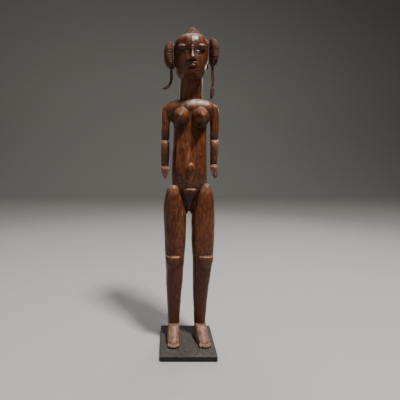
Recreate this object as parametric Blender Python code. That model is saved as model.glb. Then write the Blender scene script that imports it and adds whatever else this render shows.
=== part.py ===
"""Standing carved figure with fibre hair, fixed to a block base.

Metres, +Z up. The figure faces -Y, so its own left hand is on the +X side. The origin is the centre
of the base's underside. The figure, its hair and its base are separate pieces, as they come apart:
the wooden figure is one carving, the hair is pegged into it, and two rods hold it to the base.
"""

import math

import bmesh
import bpy
from mathutils import Matrix, Vector
from mathutils.bvhtree import BVHTree

for old in list(bpy.data.objects):
    bpy.data.objects.remove(old, do_unlink=True)

# ---------------------------------------------------------------- driving dimensions

GAP = 0.0003  # between pieces that touch

BASE_SIDE = 0.111
BASE_THICK = 0.010
BASE_CHAMFER = 0.0008
FELT_THICK = 0.001
FELT_INSET = 0.0015

ROD_RADIUS = 0.002
ROD_IN_LEG = 0.052
ROD_CLEARANCE = 0.0003
COUNTERBORE_RADIUS = 0.0068
COUNTERBORE_DEPTH = 0.0048
WASHER_RADIUS = 0.0056
WASHER_THICK = 0.0008
NUT_ACROSS_CORNERS = 0.0081
NUT_THICK = 0.0032

PEG_RADIUS = 0.0016
PEG_IN_HEAD = 0.012
PEG_IN_ROLL = 0.008
PEG_CLEARANCE = 0.0003
TIE_RADIUS = 0.0042
TIE_THICK = 0.0021

TACK_HEAD_RADIUS = 0.0012
TACK_HEAD_THICK = 0.0005
TACK_SHANK_RADIUS = 0.0004
TACK_SHANK_LENGTH = 0.004

SOLE_Z = FELT_THICK + GAP + BASE_THICK + GAP

# Colours and surfaces: base colour, roughness, metallic.
FINISHES = {
    "patinated_wood": ((0.115, 0.042, 0.020), 0.38, 0.0),
    "black_wood": ((0.030, 0.027, 0.025), 0.55, 0.0),
    "black_felt": ((0.018, 0.018, 0.018), 0.95, 0.0),
    "steel": ((0.45, 0.45, 0.46), 0.35, 1.0),
    "peg_wood": ((0.30, 0.17, 0.07), 0.60, 0.0),
    "brass": ((0.58, 0.44, 0.22), 0.40, 1.0),
    "dark_fibre": ((0.060, 0.025, 0.014), 0.85, 0.0),
    "raffia": ((0.52, 0.36, 0.15), 0.75, 0.0),
    "thread": ((0.040, 0.020, 0.013), 0.80, 0.0),
}

# ---------------------------------------------------------------- helpers


def finish_material(slot):
    """The material of one finish, made once and shared."""
    found = bpy.data.materials.get(slot)
    if found:
        return found
    colour, roughness, metallic = FINISHES[slot]
    made = bpy.data.materials.new(slot)
    made.use_nodes = True
    shader = made.node_tree.nodes["Principled BSDF"]
    shader.inputs["Base Color"].default_value = (*colour, 1.0)
    shader.inputs["Roughness"].default_value = roughness
    shader.inputs["Metallic"].default_value = metallic
    return made


def add_object(name, data, slot):
    """Links an object with its finish."""
    made = bpy.data.objects.new(name, data)
    bpy.context.scene.collection.objects.link(made)
    made.data.materials.append(finish_material(slot))
    return made


def object_from(bm, name, slot, smooth=True):
    """An object from a bmesh, with its faces pointing outwards."""
    bmesh.ops.recalc_face_normals(bm, faces=bm.faces)
    mesh = bpy.data.meshes.new(name)
    bm.to_mesh(mesh)
    bm.free()
    made = add_object(name, mesh, slot)
    if smooth:
        mesh.shade_smooth()
        mesh.set_sharp_from_angle(angle=math.radians(40))
    return made


def smooth_through(rows, steps):
    """Rows of numbers with steps rows to each stretch, on a curve that passes through all of them."""
    out = []
    for i in range(len(rows) - 1):
        before, a = rows[max(i - 1, 0)], rows[i]
        b, after = rows[i + 1], rows[min(i + 2, len(rows) - 1)]
        for k in range(steps):
            t = k / steps
            out.append(
                [
                    0.5 * (2 * q + (r - p) * t + (2 * p - 5 * q + 4 * r - s) * t * t + (3 * q - p - 3 * r + s) * t**3)
                    for p, q, r, s in zip(before, a, b, after)
                ]
            )
    out.append(list(rows[-1]))
    return out


def level_ring(bm, section, sides, squareness):
    """One level ring of vertices. A section is height, centre x, centre y, half width, half depth."""
    height, x, y, half_width, half_depth = section
    ring = []
    for i in range(sides):
        angle = 2 * math.pi * i / sides
        across, along = math.cos(angle), math.sin(angle)
        across = math.copysign(abs(across) ** (2 / squareness), across)
        along = math.copysign(abs(along) ** (2 / squareness), along)
        ring.append(bm.verts.new((x + half_width * across, y + half_depth * along, height)))
    return ring


def bridge(bm, low, high):
    """Faces between two rings of the same number of vertices."""
    for i in range(len(low)):
        j = (i + 1) % len(low)
        bm.faces.new((low[i], low[j], high[j], high[i]))


def lofted(name, slot, sections, sides=20, steps=3, squareness=2.1):
    """A closed solid through level sections, with flat ends."""
    bm = bmesh.new()
    rings = [level_ring(bm, s, sides, squareness) for s in smooth_through(sections, steps)]
    for low, high in zip(rings, rings[1:]):
        bridge(bm, low, high)
    bm.faces.new(rings[0])
    bm.faces.new(rings[-1])
    return object_from(bm, name, slot)


def sleeve(name, slot, sections, wall, sides=16, steps=2):
    """A closed tube wall whose outside runs through level sections, open at both ends."""
    bm = bmesh.new()
    rows = smooth_through(sections, steps)
    outer = [level_ring(bm, s, sides, 2.0) for s in rows]
    inner = [level_ring(bm, (s[0], s[1], s[2], s[3] - wall, s[4] - wall), sides, 2.0) for s in rows]
    for rings in (outer, inner):
        for low, high in zip(rings, rings[1:]):
            bridge(bm, low, high)
    bridge(bm, outer[0], inner[0])
    bridge(bm, outer[-1], inner[-1])
    return object_from(bm, name, slot)


def ball(name, slot, centre, radii, turn=0.0, segments=16, rings=10):
    """An ellipsoid, tilted forwards by turn about X."""
    bm = bmesh.new()
    place = Matrix.Translation(centre) @ Matrix.Rotation(turn, 4, "X") @ Matrix.Diagonal((*radii, 1.0))
    bmesh.ops.create_uvsphere(bm, u_segments=segments, v_segments=rings, radius=1.0, matrix=place)
    return object_from(bm, name, slot)


def rod(name, slot, start, end, radius, sides=16):
    """A round bar from start to end."""
    start, end = Vector(start), Vector(end)
    along = end - start
    place = Matrix.Translation((start + end) / 2) @ along.to_track_quat("Z", "Y").to_matrix().to_4x4()
    bm = bmesh.new()
    bmesh.ops.create_cone(
        bm, cap_ends=True, segments=sides, radius1=radius, radius2=radius, depth=along.length, matrix=place
    )
    return object_from(bm, name, slot)


def carve(target, others, operation):
    """Joins others to target, or cuts them out of it, and removes them."""
    for other in others:
        step = target.modifiers.new("carve", "BOOLEAN")
        step.operation = operation
        step.solver = "EXACT"
        step.object = other
        bpy.context.view_layer.update()
        evaluated = target.evaluated_get(bpy.context.evaluated_depsgraph_get())
        mesh = bpy.data.meshes.new_from_object(evaluated)
        target.modifiers.remove(step)
        target.data = mesh
        bpy.data.objects.remove(other, do_unlink=True)
    bm = bmesh.new()
    bm.from_mesh(target.data)
    bmesh.ops.remove_doubles(bm, verts=bm.verts, dist=0.00002)
    bmesh.ops.dissolve_degenerate(bm, edges=bm.edges, dist=0.00001)
    bm.to_mesh(target.data)
    bm.free()
    return target


# ---------------------------------------------------------------- the one-piece carving
# Heights here are above the soles. A section is height, centre x, centre y, half width, half depth.
# The figure leans a few millimetres to its left between the feet and the crown.

WOOD = "patinated_wood"

TORSO = [
    (0.292, 0.0030, 0.010, 0.0300, 0.0200),
    (0.319, 0.0034, 0.009, 0.0345, 0.0215),
    (0.345, 0.0026, 0.008, 0.0350, 0.0260),
    (0.372, 0.0025, 0.008, 0.0345, 0.0270),
    (0.400, 0.0028, 0.009, 0.0335, 0.0250),
    (0.432, 0.0034, 0.010, 0.0325, 0.0225),
    (0.462, 0.0034, 0.009, 0.0330, 0.0205),
]
SHOULDERS = [
    (0.4590, 0.0032, 0.008, 0.0500, 0.0130),
    (0.4660, 0.0032, 0.008, 0.0545, 0.0160),
    (0.4740, 0.0028, 0.008, 0.0530, 0.0170),
    (0.4810, 0.0026, 0.008, 0.0475, 0.0160),
    (0.4860, 0.0026, 0.008, 0.0400, 0.0140),
    (0.4885, 0.0030, 0.008, 0.0320, 0.0110),
]
NECK = [
    (0.478, 0.0042, 0.009, 0.0232, 0.0205),
    (0.505, 0.0043, 0.008, 0.0229, 0.0205),
    (0.536, 0.0043, 0.007, 0.0229, 0.0200),
]
HEAD = [
    (0.5285, 0.0046, 0.002, 0.0215, 0.0220),
    (0.5370, 0.0042, 0.001, 0.0265, 0.0290),
    (0.5470, 0.0038, 0.001, 0.0298, 0.0320),
    (0.5600, 0.0034, 0.003, 0.0322, 0.0345),
    (0.5740, 0.0032, 0.004, 0.0330, 0.0360),
    (0.5870, 0.0034, 0.005, 0.0312, 0.0345),
    (0.5970, 0.0042, 0.006, 0.0260, 0.0290),
    (0.6035, 0.0050, 0.006, 0.0185, 0.0200),
    (0.6055, 0.0053, 0.006, 0.0140, 0.0150),
]
CROWN_COLLAR = [
    (0.6030, 0.0054, 0.006, 0.0140, 0.0140),
    (0.6060, 0.0054, 0.006, 0.0145, 0.0145),
    (0.6090, 0.0054, 0.006, 0.0130, 0.0130),
    (0.6108, 0.0054, 0.006, 0.0112, 0.0112),
]
NOSE = [
    (0.5520, 0.0032, -0.028, 0.0066, 0.0110),
    (0.5560, 0.0033, -0.029, 0.0058, 0.0085),
    (0.5660, 0.0034, -0.028, 0.0034, 0.0055),
    (0.5740, 0.0034, -0.027, 0.0024, 0.0040),
]
PUBIS = [
    (0.2765, 0.0015, 0.014, 0.0050, 0.0130),
    (0.2880, 0.0022, 0.008, 0.0120, 0.0170),
    (0.3040, 0.0030, 0.004, 0.0165, 0.0190),
    (0.3185, 0.0032, 0.004, 0.0190, 0.0190),
]

# Each limb is carved in steps: a shelf at the front marks the elbow, the wrist, the knee and the ankle.
ARMS = {
    "right": {
        "upper": [
            (0.409, -0.0452, 0.0080, 0.0081, 0.0072),
            (0.416, -0.0452, 0.0078, 0.0082, 0.0078),
            (0.432, -0.0450, 0.0070, 0.0083, 0.0098),
            (0.455, -0.0448, 0.0065, 0.0086, 0.0108),
            (0.474, -0.0430, 0.0070, 0.0095, 0.0110),
        ],
        "fore": [
            (0.358, -0.0459, 0.0055, 0.0073, 0.0064),
            (0.366, -0.0458, 0.0050, 0.0076, 0.0070),
            (0.388, -0.0455, 0.0040, 0.0080, 0.0088),
            (0.404, -0.0453, 0.0034, 0.0081, 0.0098),
            (0.413, -0.0452, 0.0040, 0.0081, 0.0092),
        ],
        "hand": [
            (0.3370, -0.0454, 0.0010, 0.0014, 0.0022),
            (0.3420, -0.0457, 0.0010, 0.0032, 0.0045),
            (0.3500, -0.0464, 0.0012, 0.0062, 0.0062),
            (0.3570, -0.0462, 0.0020, 0.0074, 0.0072),
            (0.3625, -0.0460, 0.0028, 0.0075, 0.0070),
        ],
    },
    "left": {
        "upper": [
            (0.409, 0.0508, 0.0080, 0.0076, 0.0072),
            (0.416, 0.0508, 0.0078, 0.0078, 0.0078),
            (0.432, 0.0510, 0.0070, 0.0082, 0.0098),
            (0.455, 0.0510, 0.0065, 0.0085, 0.0108),
            (0.474, 0.0490, 0.0070, 0.0095, 0.0110),
        ],
        "fore": [
            (0.360, 0.0508, 0.0055, 0.0068, 0.0064),
            (0.368, 0.0508, 0.0050, 0.0070, 0.0070),
            (0.388, 0.0508, 0.0040, 0.0074, 0.0088),
            (0.404, 0.0508, 0.0034, 0.0076, 0.0098),
            (0.413, 0.0508, 0.0040, 0.0076, 0.0092),
        ],
        "hand": [
            (0.3390, 0.0530, 0.0010, 0.0016, 0.0022),
            (0.3440, 0.0528, 0.0010, 0.0040, 0.0045),
            (0.3520, 0.0520, 0.0012, 0.0062, 0.0062),
            (0.3600, 0.0511, 0.0020, 0.0070, 0.0072),
            (0.3655, 0.0508, 0.0028, 0.0070, 0.0070),
        ],
    },
}
LEGS = {
    "right": {
        "limb": [
            (0.0240, -0.0276, 0.017, 0.0106, 0.0105),
            (0.0440, -0.0276, 0.017, 0.0109, 0.0112),
            (0.0870, -0.0274, 0.016, 0.0132, 0.0155),
            (0.1300, -0.0267, 0.013, 0.0161, 0.0195),
            (0.1700, -0.0263, 0.007, 0.0188, 0.0200),
            (0.1840, -0.0265, 0.006, 0.0195, 0.0200),
            (0.2250, -0.0260, 0.005, 0.0214, 0.0230),
            (0.2650, -0.0262, 0.006, 0.0226, 0.0250),
            (0.2860, -0.0282, 0.006, 0.0205, 0.0250),
            (0.3000, -0.0287, 0.006, 0.0178, 0.0240),
            (0.3120, -0.0290, 0.004, 0.0140, 0.0215),
            (0.3200, -0.0292, 0.002, 0.0098, 0.0180),
            (0.3245, -0.0292, -0.002, 0.0050, 0.0110),
        ],
        "knee_x": -0.0290,
        "toe_turn": 2.0,
    },
    "left": {
        "limb": [
            (0.0240, 0.0278, 0.017, 0.0105, 0.0105),
            (0.0440, 0.0278, 0.017, 0.0108, 0.0112),
            (0.0870, 0.0279, 0.016, 0.0136, 0.0155),
            (0.1300, 0.0290, 0.013, 0.0164, 0.0195),
            (0.1700, 0.0312, 0.007, 0.0196, 0.0200),
            (0.1840, 0.0313, 0.006, 0.0203, 0.0200),
            (0.2250, 0.0309, 0.005, 0.0217, 0.0230),
            (0.2650, 0.0304, 0.006, 0.0215, 0.0250),
            (0.2860, 0.0322, 0.006, 0.0190, 0.0250),
            (0.3010, 0.0330, 0.006, 0.0165, 0.0240),
            (0.3130, 0.0340, 0.004, 0.0132, 0.0215),
            (0.3215, 0.0350, 0.002, 0.0092, 0.0180),
            (0.3265, 0.0355, -0.002, 0.0048, 0.0110),
        ],
        "knee_x": 0.0352,
        "toe_turn": -9.0,
    },
}
# Height, y, half width, half depth of a kneecap and of a foot.
KNEECAP = [
    (0.1560, -0.0060, 0.0040, 0.0060),
    (0.1630, -0.0060, 0.0100, 0.0095),
    (0.1715, -0.0060, 0.0138, 0.0115),
    (0.1805, -0.0060, 0.0142, 0.0112),
]
FOOT = [
    (0.0000, 0.0005, 0.0108, 0.0290),
    (0.0020, 0.0005, 0.0122, 0.0305),
    (0.0070, 0.0010, 0.0126, 0.0305),
    (0.0115, 0.0035, 0.0122, 0.0275),
    (0.0180, 0.0080, 0.0117, 0.0225),
    (0.0250, 0.0118, 0.0112, 0.0172),
    (0.0320, 0.0145, 0.0108, 0.0135),
]
FOOT_SQUARENESS = 2.7
BREAST_OFFSET = 0.0182
BREAST_CENTRE = (0.0045, -0.0150, 0.4545)
BREAST_RADII = (0.0178, 0.0270, 0.0180)
BUTTOCK_OFFSET = 0.0170
BUTTOCK_CENTRE = (0.0026, 0.0215, 0.288)
BUTTOCK_RADII = (0.0195, 0.0165, 0.0265)
NAVEL_CENTRE = (0.0030, -0.0200, 0.3600)
NAVEL_RADIUS = 0.0056
TACK_AXIS = (0.0033, 0.0040)
TACKS = [(-51, 0.5696), (-10, 0.5790), (5, 0.5790), (49, 0.5730)]  # degrees from the front, height
EAR_X = 0.0300
EAR_CENTRE = (0.0033, 0.0165, 0.5620)
EAR_RADII = (0.0040, 0.0052, 0.0100)


def build_limb_parts(side):
    """The solids of one arm and one leg."""
    arm, leg = ARMS[side], LEGS[side]
    parts = [lofted("arm", WOOD, arm[k], sides=14, steps=1, squareness=2.3) for k in ("upper", "fore", "hand")]
    parts.append(lofted("leg", WOOD, leg["limb"], sides=20, steps=1))
    kneecap = [(h, leg["knee_x"], y, w, d) for h, y, w, d in KNEECAP]
    parts.append(lofted("kneecap", WOOD, kneecap, sides=16, steps=1, squareness=2.4))
    ankle_x, ankle_y = leg["limb"][1][1:3]
    foot = lofted("foot", WOOD, [(h, 0.0, y, w, d) for h, y, w, d in FOOT], 22, 1, FOOT_SQUARENESS)
    about_ankle = Matrix.Translation((ankle_x, ankle_y, 0.0)) @ Matrix.Rotation(math.radians(-leg["toe_turn"]), 4, "Z")
    foot.data.transform(about_ankle @ Matrix.Translation((0.0, -ankle_y, 0.0)))
    parts.append(foot)
    return parts


def tack_places(figure):
    """Where each tack meets the forehead, and the direction in which it points out of it."""
    wood = BVHTree.FromObject(figure, bpy.context.evaluated_depsgraph_get())
    places = []
    for degrees, height in TACKS:
        turn = math.radians(degrees)
        way = Vector((math.sin(turn), -math.cos(turn), 0.0))
        middle = Vector((*TACK_AXIS, SOLE_Z + height))
        places.append((way, wood.ray_cast(middle + way * 0.2, -way)[0]))
    return places


def build_tack(name, way, on_surface):
    """One domed tack, its shank in the wood."""
    profile = [
        (-TACK_SHANK_LENGTH, TACK_SHANK_RADIUS),
        (0.0, TACK_SHANK_RADIUS),
        (0.0, TACK_HEAD_RADIUS),
        (TACK_HEAD_THICK, TACK_HEAD_RADIUS * 0.6),
    ]
    bm = bmesh.new()
    rings = [level_ring(bm, (height, 0.0, 0.0, radius, radius), 8, 2.0) for height, radius in profile]
    for low, high in zip(rings, rings[1:]):
        bridge(bm, low, high)
    bm.faces.new(rings[0])
    bm.faces.new(rings[-1])
    bm.transform(Matrix.Translation(on_surface + way * GAP) @ way.to_track_quat("Z", "Y").to_matrix().to_4x4())
    object_from(bm, name, "brass")


def build_figure():
    """The carving: its forms are joined into one solid, then drilled for the rods and pegs."""
    figure = lofted("carved_figure", WOOD, TORSO, sides=28, steps=1, squareness=2.3)
    forms = [
        lofted("shoulders", WOOD, SHOULDERS, sides=28, steps=1, squareness=2.3),
        lofted("neck", WOOD, NECK, sides=20, steps=1),
        lofted("head", WOOD, HEAD, sides=24, steps=2, squareness=2.1),
        lofted("crown_collar", WOOD, CROWN_COLLAR, sides=20, steps=1, squareness=2.0),
        lofted("nose", WOOD, NOSE, sides=10, steps=1),
        lofted("pubis", WOOD, PUBIS, sides=16, steps=1),
        ball("navel", WOOD, NAVEL_CENTRE, (NAVEL_RADIUS,) * 3, segments=12, rings=8),
    ]
    for sign in (-1, 1):
        x, y, z = BREAST_CENTRE
        forms.append(ball("breast", WOOD, (x + sign * BREAST_OFFSET, y, z), BREAST_RADII, math.radians(8)))
        x, y, z = BUTTOCK_CENTRE
        forms.append(ball("buttock", WOOD, (x + sign * BUTTOCK_OFFSET, y, z), BUTTOCK_RADII, segments=14))
        x, y, z = EAR_CENTRE
        forms.append(ball("ear", WOOD, (x + sign * EAR_X, y, z), EAR_RADII, segments=10, rings=8))
    for side in ("right", "left"):
        forms += build_limb_parts(side)
    carve(figure, forms, "UNION")
    figure.data.transform(Matrix.Translation((0.0, 0.0, SOLE_Z)))
    drills = [
        rod("drill", WOOD, (x, y, SOLE_Z - 0.01), (x, y, SOLE_Z + ROD_IN_LEG + GAP), ROD_RADIUS + ROD_CLEARANCE, 12)
        for x, y in ROD_PLACES.values()
    ]
    for side in ("right", "left"):
        inner, outer = peg_ends(side)
        drills.append(rod("drill", WOOD, inner + peg_way(side) * -GAP, outer, PEG_RADIUS + PEG_CLEARANCE, 12))
    drills.append(rod("drill", WOOD, TOP_PEG_FOOT - Vector((0, 0, GAP)), TOP_PEG_HEAD, PEG_RADIUS + PEG_CLEARANCE, 12))
    places = tack_places(figure)
    for way, on_surface in places:
        deep = on_surface - way * (TACK_SHANK_LENGTH + GAP)
        drills.append(rod("drill", WOOD, deep, on_surface + way * 0.002, TACK_SHANK_RADIUS + GAP, 8))
    carve(figure, drills, "DIFFERENCE")
    figure.data.shade_smooth()
    figure.data.set_sharp_from_angle(angle=math.radians(35))
    for number, (way, on_surface) in enumerate(places, 1):
        build_tack(f"forehead_tack_{number}", way, on_surface)


# ---------------------------------------------------------------- fibre hair
# A roll is a bundle of fibre pegged to the side of the head. Its lower part is bound with a cord, and a
# plait hangs from its lower end. Heights in this section are above the soles too.

HAIR_Y = -0.002
ROLLS = {
    "right": [
        (0.5443, -0.0340, HAIR_Y, 0.0026, 0.0026),
        (0.5475, -0.0352, HAIR_Y, 0.0044, 0.0055),
        (0.5530, -0.0372, HAIR_Y, 0.0056, 0.0085),
        (0.5610, -0.0390, HAIR_Y, 0.0066, 0.0105),
        (0.5700, -0.0392, HAIR_Y, 0.0067, 0.0110),
        (0.5790, -0.0390, HAIR_Y, 0.0068, 0.0108),
        (0.5860, -0.0384, HAIR_Y, 0.0066, 0.0090),
        (0.5905, -0.0368, HAIR_Y, 0.0049, 0.0060),
        (0.5925, -0.0358, HAIR_Y, 0.0022, 0.0028),
    ],
    "left": [
        (0.5490, 0.0440, HAIR_Y, 0.0026, 0.0026),
        (0.5525, 0.0446, HAIR_Y, 0.0048, 0.0060),
        (0.5580, 0.0456, HAIR_Y, 0.0062, 0.0090),
        (0.5650, 0.0464, HAIR_Y, 0.0074, 0.0112),
        (0.5740, 0.0464, HAIR_Y, 0.0075, 0.0118),
        (0.5830, 0.0461, HAIR_Y, 0.0076, 0.0115),
        (0.5905, 0.0450, HAIR_Y, 0.0076, 0.0098),
        (0.5960, 0.0432, HAIR_Y, 0.0056, 0.0068),
        (0.5982, 0.0418, HAIR_Y, 0.0024, 0.0030),
    ],
}
BINDING_WALL = 0.0014
BINDING_ROWS = slice(2, 6)  # the rows of a roll that its binding covers
PEG_HEIGHTS = {"right": 0.5860, "left": 0.5890}
HEAD_SIDES = {"right": -0.0294, "left": 0.0350}  # x of the wood's surface at the pegs
# Plait routes: x, height, radius. They lie in the plane y = HAIR_Y.
PLAIT_ROUTES = {
    "right": [
        (-0.0340, 0.5434, 0.0013),
        (-0.0338, 0.5405, 0.0026),
        (-0.0334, 0.5330, 0.0027),
        (-0.0338, 0.5250, 0.0026),
        (-0.0358, 0.5180, 0.0021),
        (-0.0395, 0.5130, 0.0030),
        (-0.0445, 0.5100, 0.0027),
        (-0.0484, 0.5085, 0.0014),
    ],
    "left": [
        (0.0440, 0.5481, 0.0013),
        (0.0441, 0.5452, 0.0026),
        (0.0446, 0.5370, 0.0028),
        (0.0453, 0.5260, 0.0029),
        (0.0452, 0.5155, 0.0021),
        (0.0446, 0.5080, 0.0036),
        (0.0441, 0.4990, 0.0037),
        (0.0428, 0.4930, 0.0026),
        (0.0412, 0.4900, 0.0014),
    ],
}
WHIPPING_POINT = 4  # the point of a route where thread binds the plait
WHIPPING_HALF_HEIGHT = 0.0016
WHIPPING_WALL = 0.0010

TOPKNOT_X, TOPKNOT_Y = 0.0054, 0.006
TOPKNOT = [
    (0.6111, TOPKNOT_X, TOPKNOT_Y, 0.0092, 0.0092),
    (0.6130, TOPKNOT_X, TOPKNOT_Y, 0.0102, 0.0102),
    (0.6155, TOPKNOT_X, TOPKNOT_Y, 0.0094, 0.0094),
    (0.6185, TOPKNOT_X, TOPKNOT_Y, 0.0070, 0.0070),
    (0.6208, TOPKNOT_X, TOPKNOT_Y, 0.0030, 0.0030),
]
TOP_PEG_FOOT = Vector((TOPKNOT_X, TOPKNOT_Y, SOLE_Z + 0.5985))
TOP_PEG_HEAD = Vector((TOPKNOT_X, TOPKNOT_Y, SOLE_Z + 0.6165))


def peg_way(side):
    """The direction in which a peg points out of the head."""
    return Vector((-1.0 if side == "right" else 1.0, 0.0, 0.0))


def peg_ends(side):
    """The ends of a hair peg, inside the head and inside the roll."""
    surface = Vector((HEAD_SIDES[side], HAIR_Y, SOLE_Z + PEG_HEIGHTS[side]))
    return surface - peg_way(side) * PEG_IN_HEAD, surface + peg_way(side) * (TIE_THICK + PEG_IN_ROLL)


def raised(sections):
    """Sections given above the soles, moved up to stand on the base."""
    return [(s[0] + SOLE_Z, *s[1:]) for s in sections]


def build_roll(side):
    """One side's roll, its binding, the peg that holds it and the raffia tie round its root."""
    way = peg_way(side)
    inner, outer = peg_ends(side)
    rod(f"hair_peg_{side}", "peg_wood", inner, outer, PEG_RADIUS, 12)
    hole = rod("hole", "dark_fibre", inner, outer + way * GAP, PEG_RADIUS + PEG_CLEARANCE, 12)
    roll = lofted(f"hair_roll_{side}", "dark_fibre", raised(ROLLS[side]), sides=16, steps=2, squareness=2.0)
    carve(roll, [hole], "DIFFERENCE")

    wall = BINDING_WALL
    rows = [(h, x, y, w + wall + GAP, d + wall + GAP) for h, x, y, w, d in raised(ROLLS[side])[BINDING_ROWS]]
    sleeve(f"roll_binding_{side}", "dark_fibre", rows, wall)

    face = inner + way * (PEG_IN_HEAD + GAP)
    tie = rod(f"root_tie_{side}", "raffia", face, face + way * (TIE_THICK - 2 * GAP), TIE_RADIUS, 20)
    tie_hole = rod("hole", "raffia", inner, outer, PEG_RADIUS + PEG_CLEARANCE, 12)
    carve(tie, [tie_hole], "DIFFERENCE")


def build_plait(side):
    """One hanging plait and the thread that whips it above its loose end."""
    route = PLAIT_ROUTES[side]
    curve = bpy.data.curves.new(f"plait_{side}", "CURVE")
    curve.dimensions = "3D"
    curve.bevel_depth = 1.0
    curve.bevel_resolution = 2
    curve.use_fill_caps = True
    points = smooth_through(route, 3)
    spline = curve.splines.new("POLY")
    spline.points.add(len(points) - 1)
    pivot_x, pivot_height = route[0][:2]
    for point, (x, height, radius) in zip(spline.points, points):
        point.co = (x - pivot_x, 0.0, height - pivot_height, 1.0)
        point.radius = radius
    plait = add_object(f"plait_{side}", curve, "dark_fibre")
    plait.location = (pivot_x, HAIR_Y, pivot_height + SOLE_Z)

    x, height, radius = route[WHIPPING_POINT]
    before, after = route[WHIPPING_POINT - 1], route[WHIPPING_POINT + 1]
    along = Vector((after[0] - before[0], 0.0, after[1] - before[1])).normalized()
    turn = along.to_track_quat("Z", "Y").to_matrix().to_4x4()
    outer = radius + GAP + WHIPPING_WALL
    rows = [(t * WHIPPING_HALF_HEIGHT, 0.0, 0.0, outer, outer) for t in (-1, 0, 1)]
    whipping = sleeve(f"plait_whipping_{side}", "thread", rows, WHIPPING_WALL, sides=12, steps=1)
    whipping.data.transform(Matrix.Translation((x - pivot_x, 0.0, height - pivot_height)) @ turn)
    whipping.parent = plait


def build_topknot():
    """The coiled knot on the crown and its peg."""
    rod("topknot_peg", "peg_wood", TOP_PEG_FOOT, TOP_PEG_HEAD, PEG_RADIUS, 12)
    knot = lofted("topknot", "dark_fibre", raised(TOPKNOT), sides=16, steps=2, squareness=2.0)
    top = TOP_PEG_HEAD + Vector((0, 0, GAP))
    hole = rod("hole", "dark_fibre", TOP_PEG_FOOT, top, PEG_RADIUS + PEG_CLEARANCE, 12)
    carve(knot, [hole], "DIFFERENCE")


# ---------------------------------------------------------------- base and fixings

ROD_PLACES = {side: tuple(LEGS[side]["limb"][1][1:3]) for side in ("right", "left")}
BLOCK_FLOOR = FELT_THICK + GAP
BLOCK_TOP = BLOCK_FLOOR + BASE_THICK
COUNTERBORE_TOP = BLOCK_FLOOR + COUNTERBORE_DEPTH


def slab(name, slot, side, low, high, chamfer=0.0):
    """A square slab centred on the origin, with its upper edges and corners chamfered."""
    bm = bmesh.new()
    place = Matrix.Translation((0, 0, (low + high) / 2)) @ Matrix.Diagonal((side, side, high - low, 1.0))
    bmesh.ops.create_cube(bm, size=1.0, matrix=place)
    if chamfer:
        top = [e for e in bm.edges if max(v.co.z for v in e.verts) > high - 1e-6]
        bmesh.ops.bevel(bm, geom=top, offset=chamfer, segments=1, affect="EDGES")
    return object_from(bm, name, slot, smooth=False)


def build_base():
    """The block, drilled and counterbored from below, and the felt that covers the fixings."""
    block = slab("base_block", "black_wood", BASE_SIDE, BLOCK_FLOOR, BLOCK_TOP, BASE_CHAMFER)
    bores = []
    for x, y in ROD_PLACES.values():
        bores.append(rod("bore", "black_wood", (x, y, -0.01), (x, y, BLOCK_TOP + 0.01), ROD_RADIUS + ROD_CLEARANCE, 16))
        bores.append(rod("bore", "black_wood", (x, y, -0.01), (x, y, COUNTERBORE_TOP), COUNTERBORE_RADIUS, 24))
    carve(block, bores, "DIFFERENCE")
    slab("base_felt", "black_felt", BASE_SIDE - 2 * FELT_INSET, 0.0, FELT_THICK)


def build_fixings(side):
    """One threaded rod with its washer and nut."""
    x, y = ROD_PLACES[side]
    washer_top = COUNTERBORE_TOP - GAP
    washer_low = washer_top - WASHER_THICK
    nut_top = washer_low - GAP
    nut_low = nut_top - NUT_THICK
    rod(f"mounting_rod_{side}", "steel", (x, y, nut_low), (x, y, SOLE_Z + ROD_IN_LEG), ROD_RADIUS, 12)
    washer = rod(f"mounting_washer_{side}", "steel", (x, y, washer_low), (x, y, washer_top), WASHER_RADIUS, 20)
    nut = rod(f"mounting_nut_{side}", "steel", (x, y, nut_low), (x, y, nut_top), NUT_ACROSS_CORNERS / 2, 6)
    for ringed in (washer, nut):
        carve(ringed, [rod("hole", "steel", (x, y, -0.01), (x, y, 0.02), ROD_RADIUS + ROD_CLEARANCE, 12)], "DIFFERENCE")


build_figure()
build_topknot()
build_base()
for figure_side in ("right", "left"):
    build_roll(figure_side)
    build_plait(figure_side)
    build_fixings(figure_side)
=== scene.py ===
import math
import random

import bpy
import numpy as np
from mathutils import Matrix, Vector


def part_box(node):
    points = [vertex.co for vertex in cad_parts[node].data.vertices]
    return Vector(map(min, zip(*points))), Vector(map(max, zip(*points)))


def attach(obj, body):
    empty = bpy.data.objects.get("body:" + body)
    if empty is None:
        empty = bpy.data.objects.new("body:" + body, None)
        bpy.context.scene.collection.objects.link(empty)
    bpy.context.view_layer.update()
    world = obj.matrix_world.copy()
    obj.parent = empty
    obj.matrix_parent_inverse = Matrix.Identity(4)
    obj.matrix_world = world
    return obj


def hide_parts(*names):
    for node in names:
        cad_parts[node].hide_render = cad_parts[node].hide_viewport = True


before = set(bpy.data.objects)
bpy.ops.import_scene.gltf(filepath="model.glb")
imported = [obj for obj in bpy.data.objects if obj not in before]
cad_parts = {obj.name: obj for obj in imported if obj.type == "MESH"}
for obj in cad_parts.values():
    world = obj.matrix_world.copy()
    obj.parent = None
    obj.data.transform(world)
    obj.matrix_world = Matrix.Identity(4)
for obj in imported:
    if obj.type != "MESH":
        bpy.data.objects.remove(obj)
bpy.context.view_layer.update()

# ------------------------------------------------------------ the room
# A pale sweep of floor and wall, a large soft key light high on the right, and weaker fill lights. The
# lens looks slightly down from the figure's chest height, and stands a little to the figure's right.


def light(name, place, target, size, watts, colour=(1.0, 1.0, 1.0)):
    """A square area light that faces a point."""
    bpy.ops.object.light_add(type="AREA", location=place)
    made = bpy.context.object
    made.name = name
    made.data.size = size
    made.data.energy = watts
    made.data.color = colour
    made.rotation_euler = (Vector(target) - Vector(place)).to_track_quat("-Z", "Y").to_euler()


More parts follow.
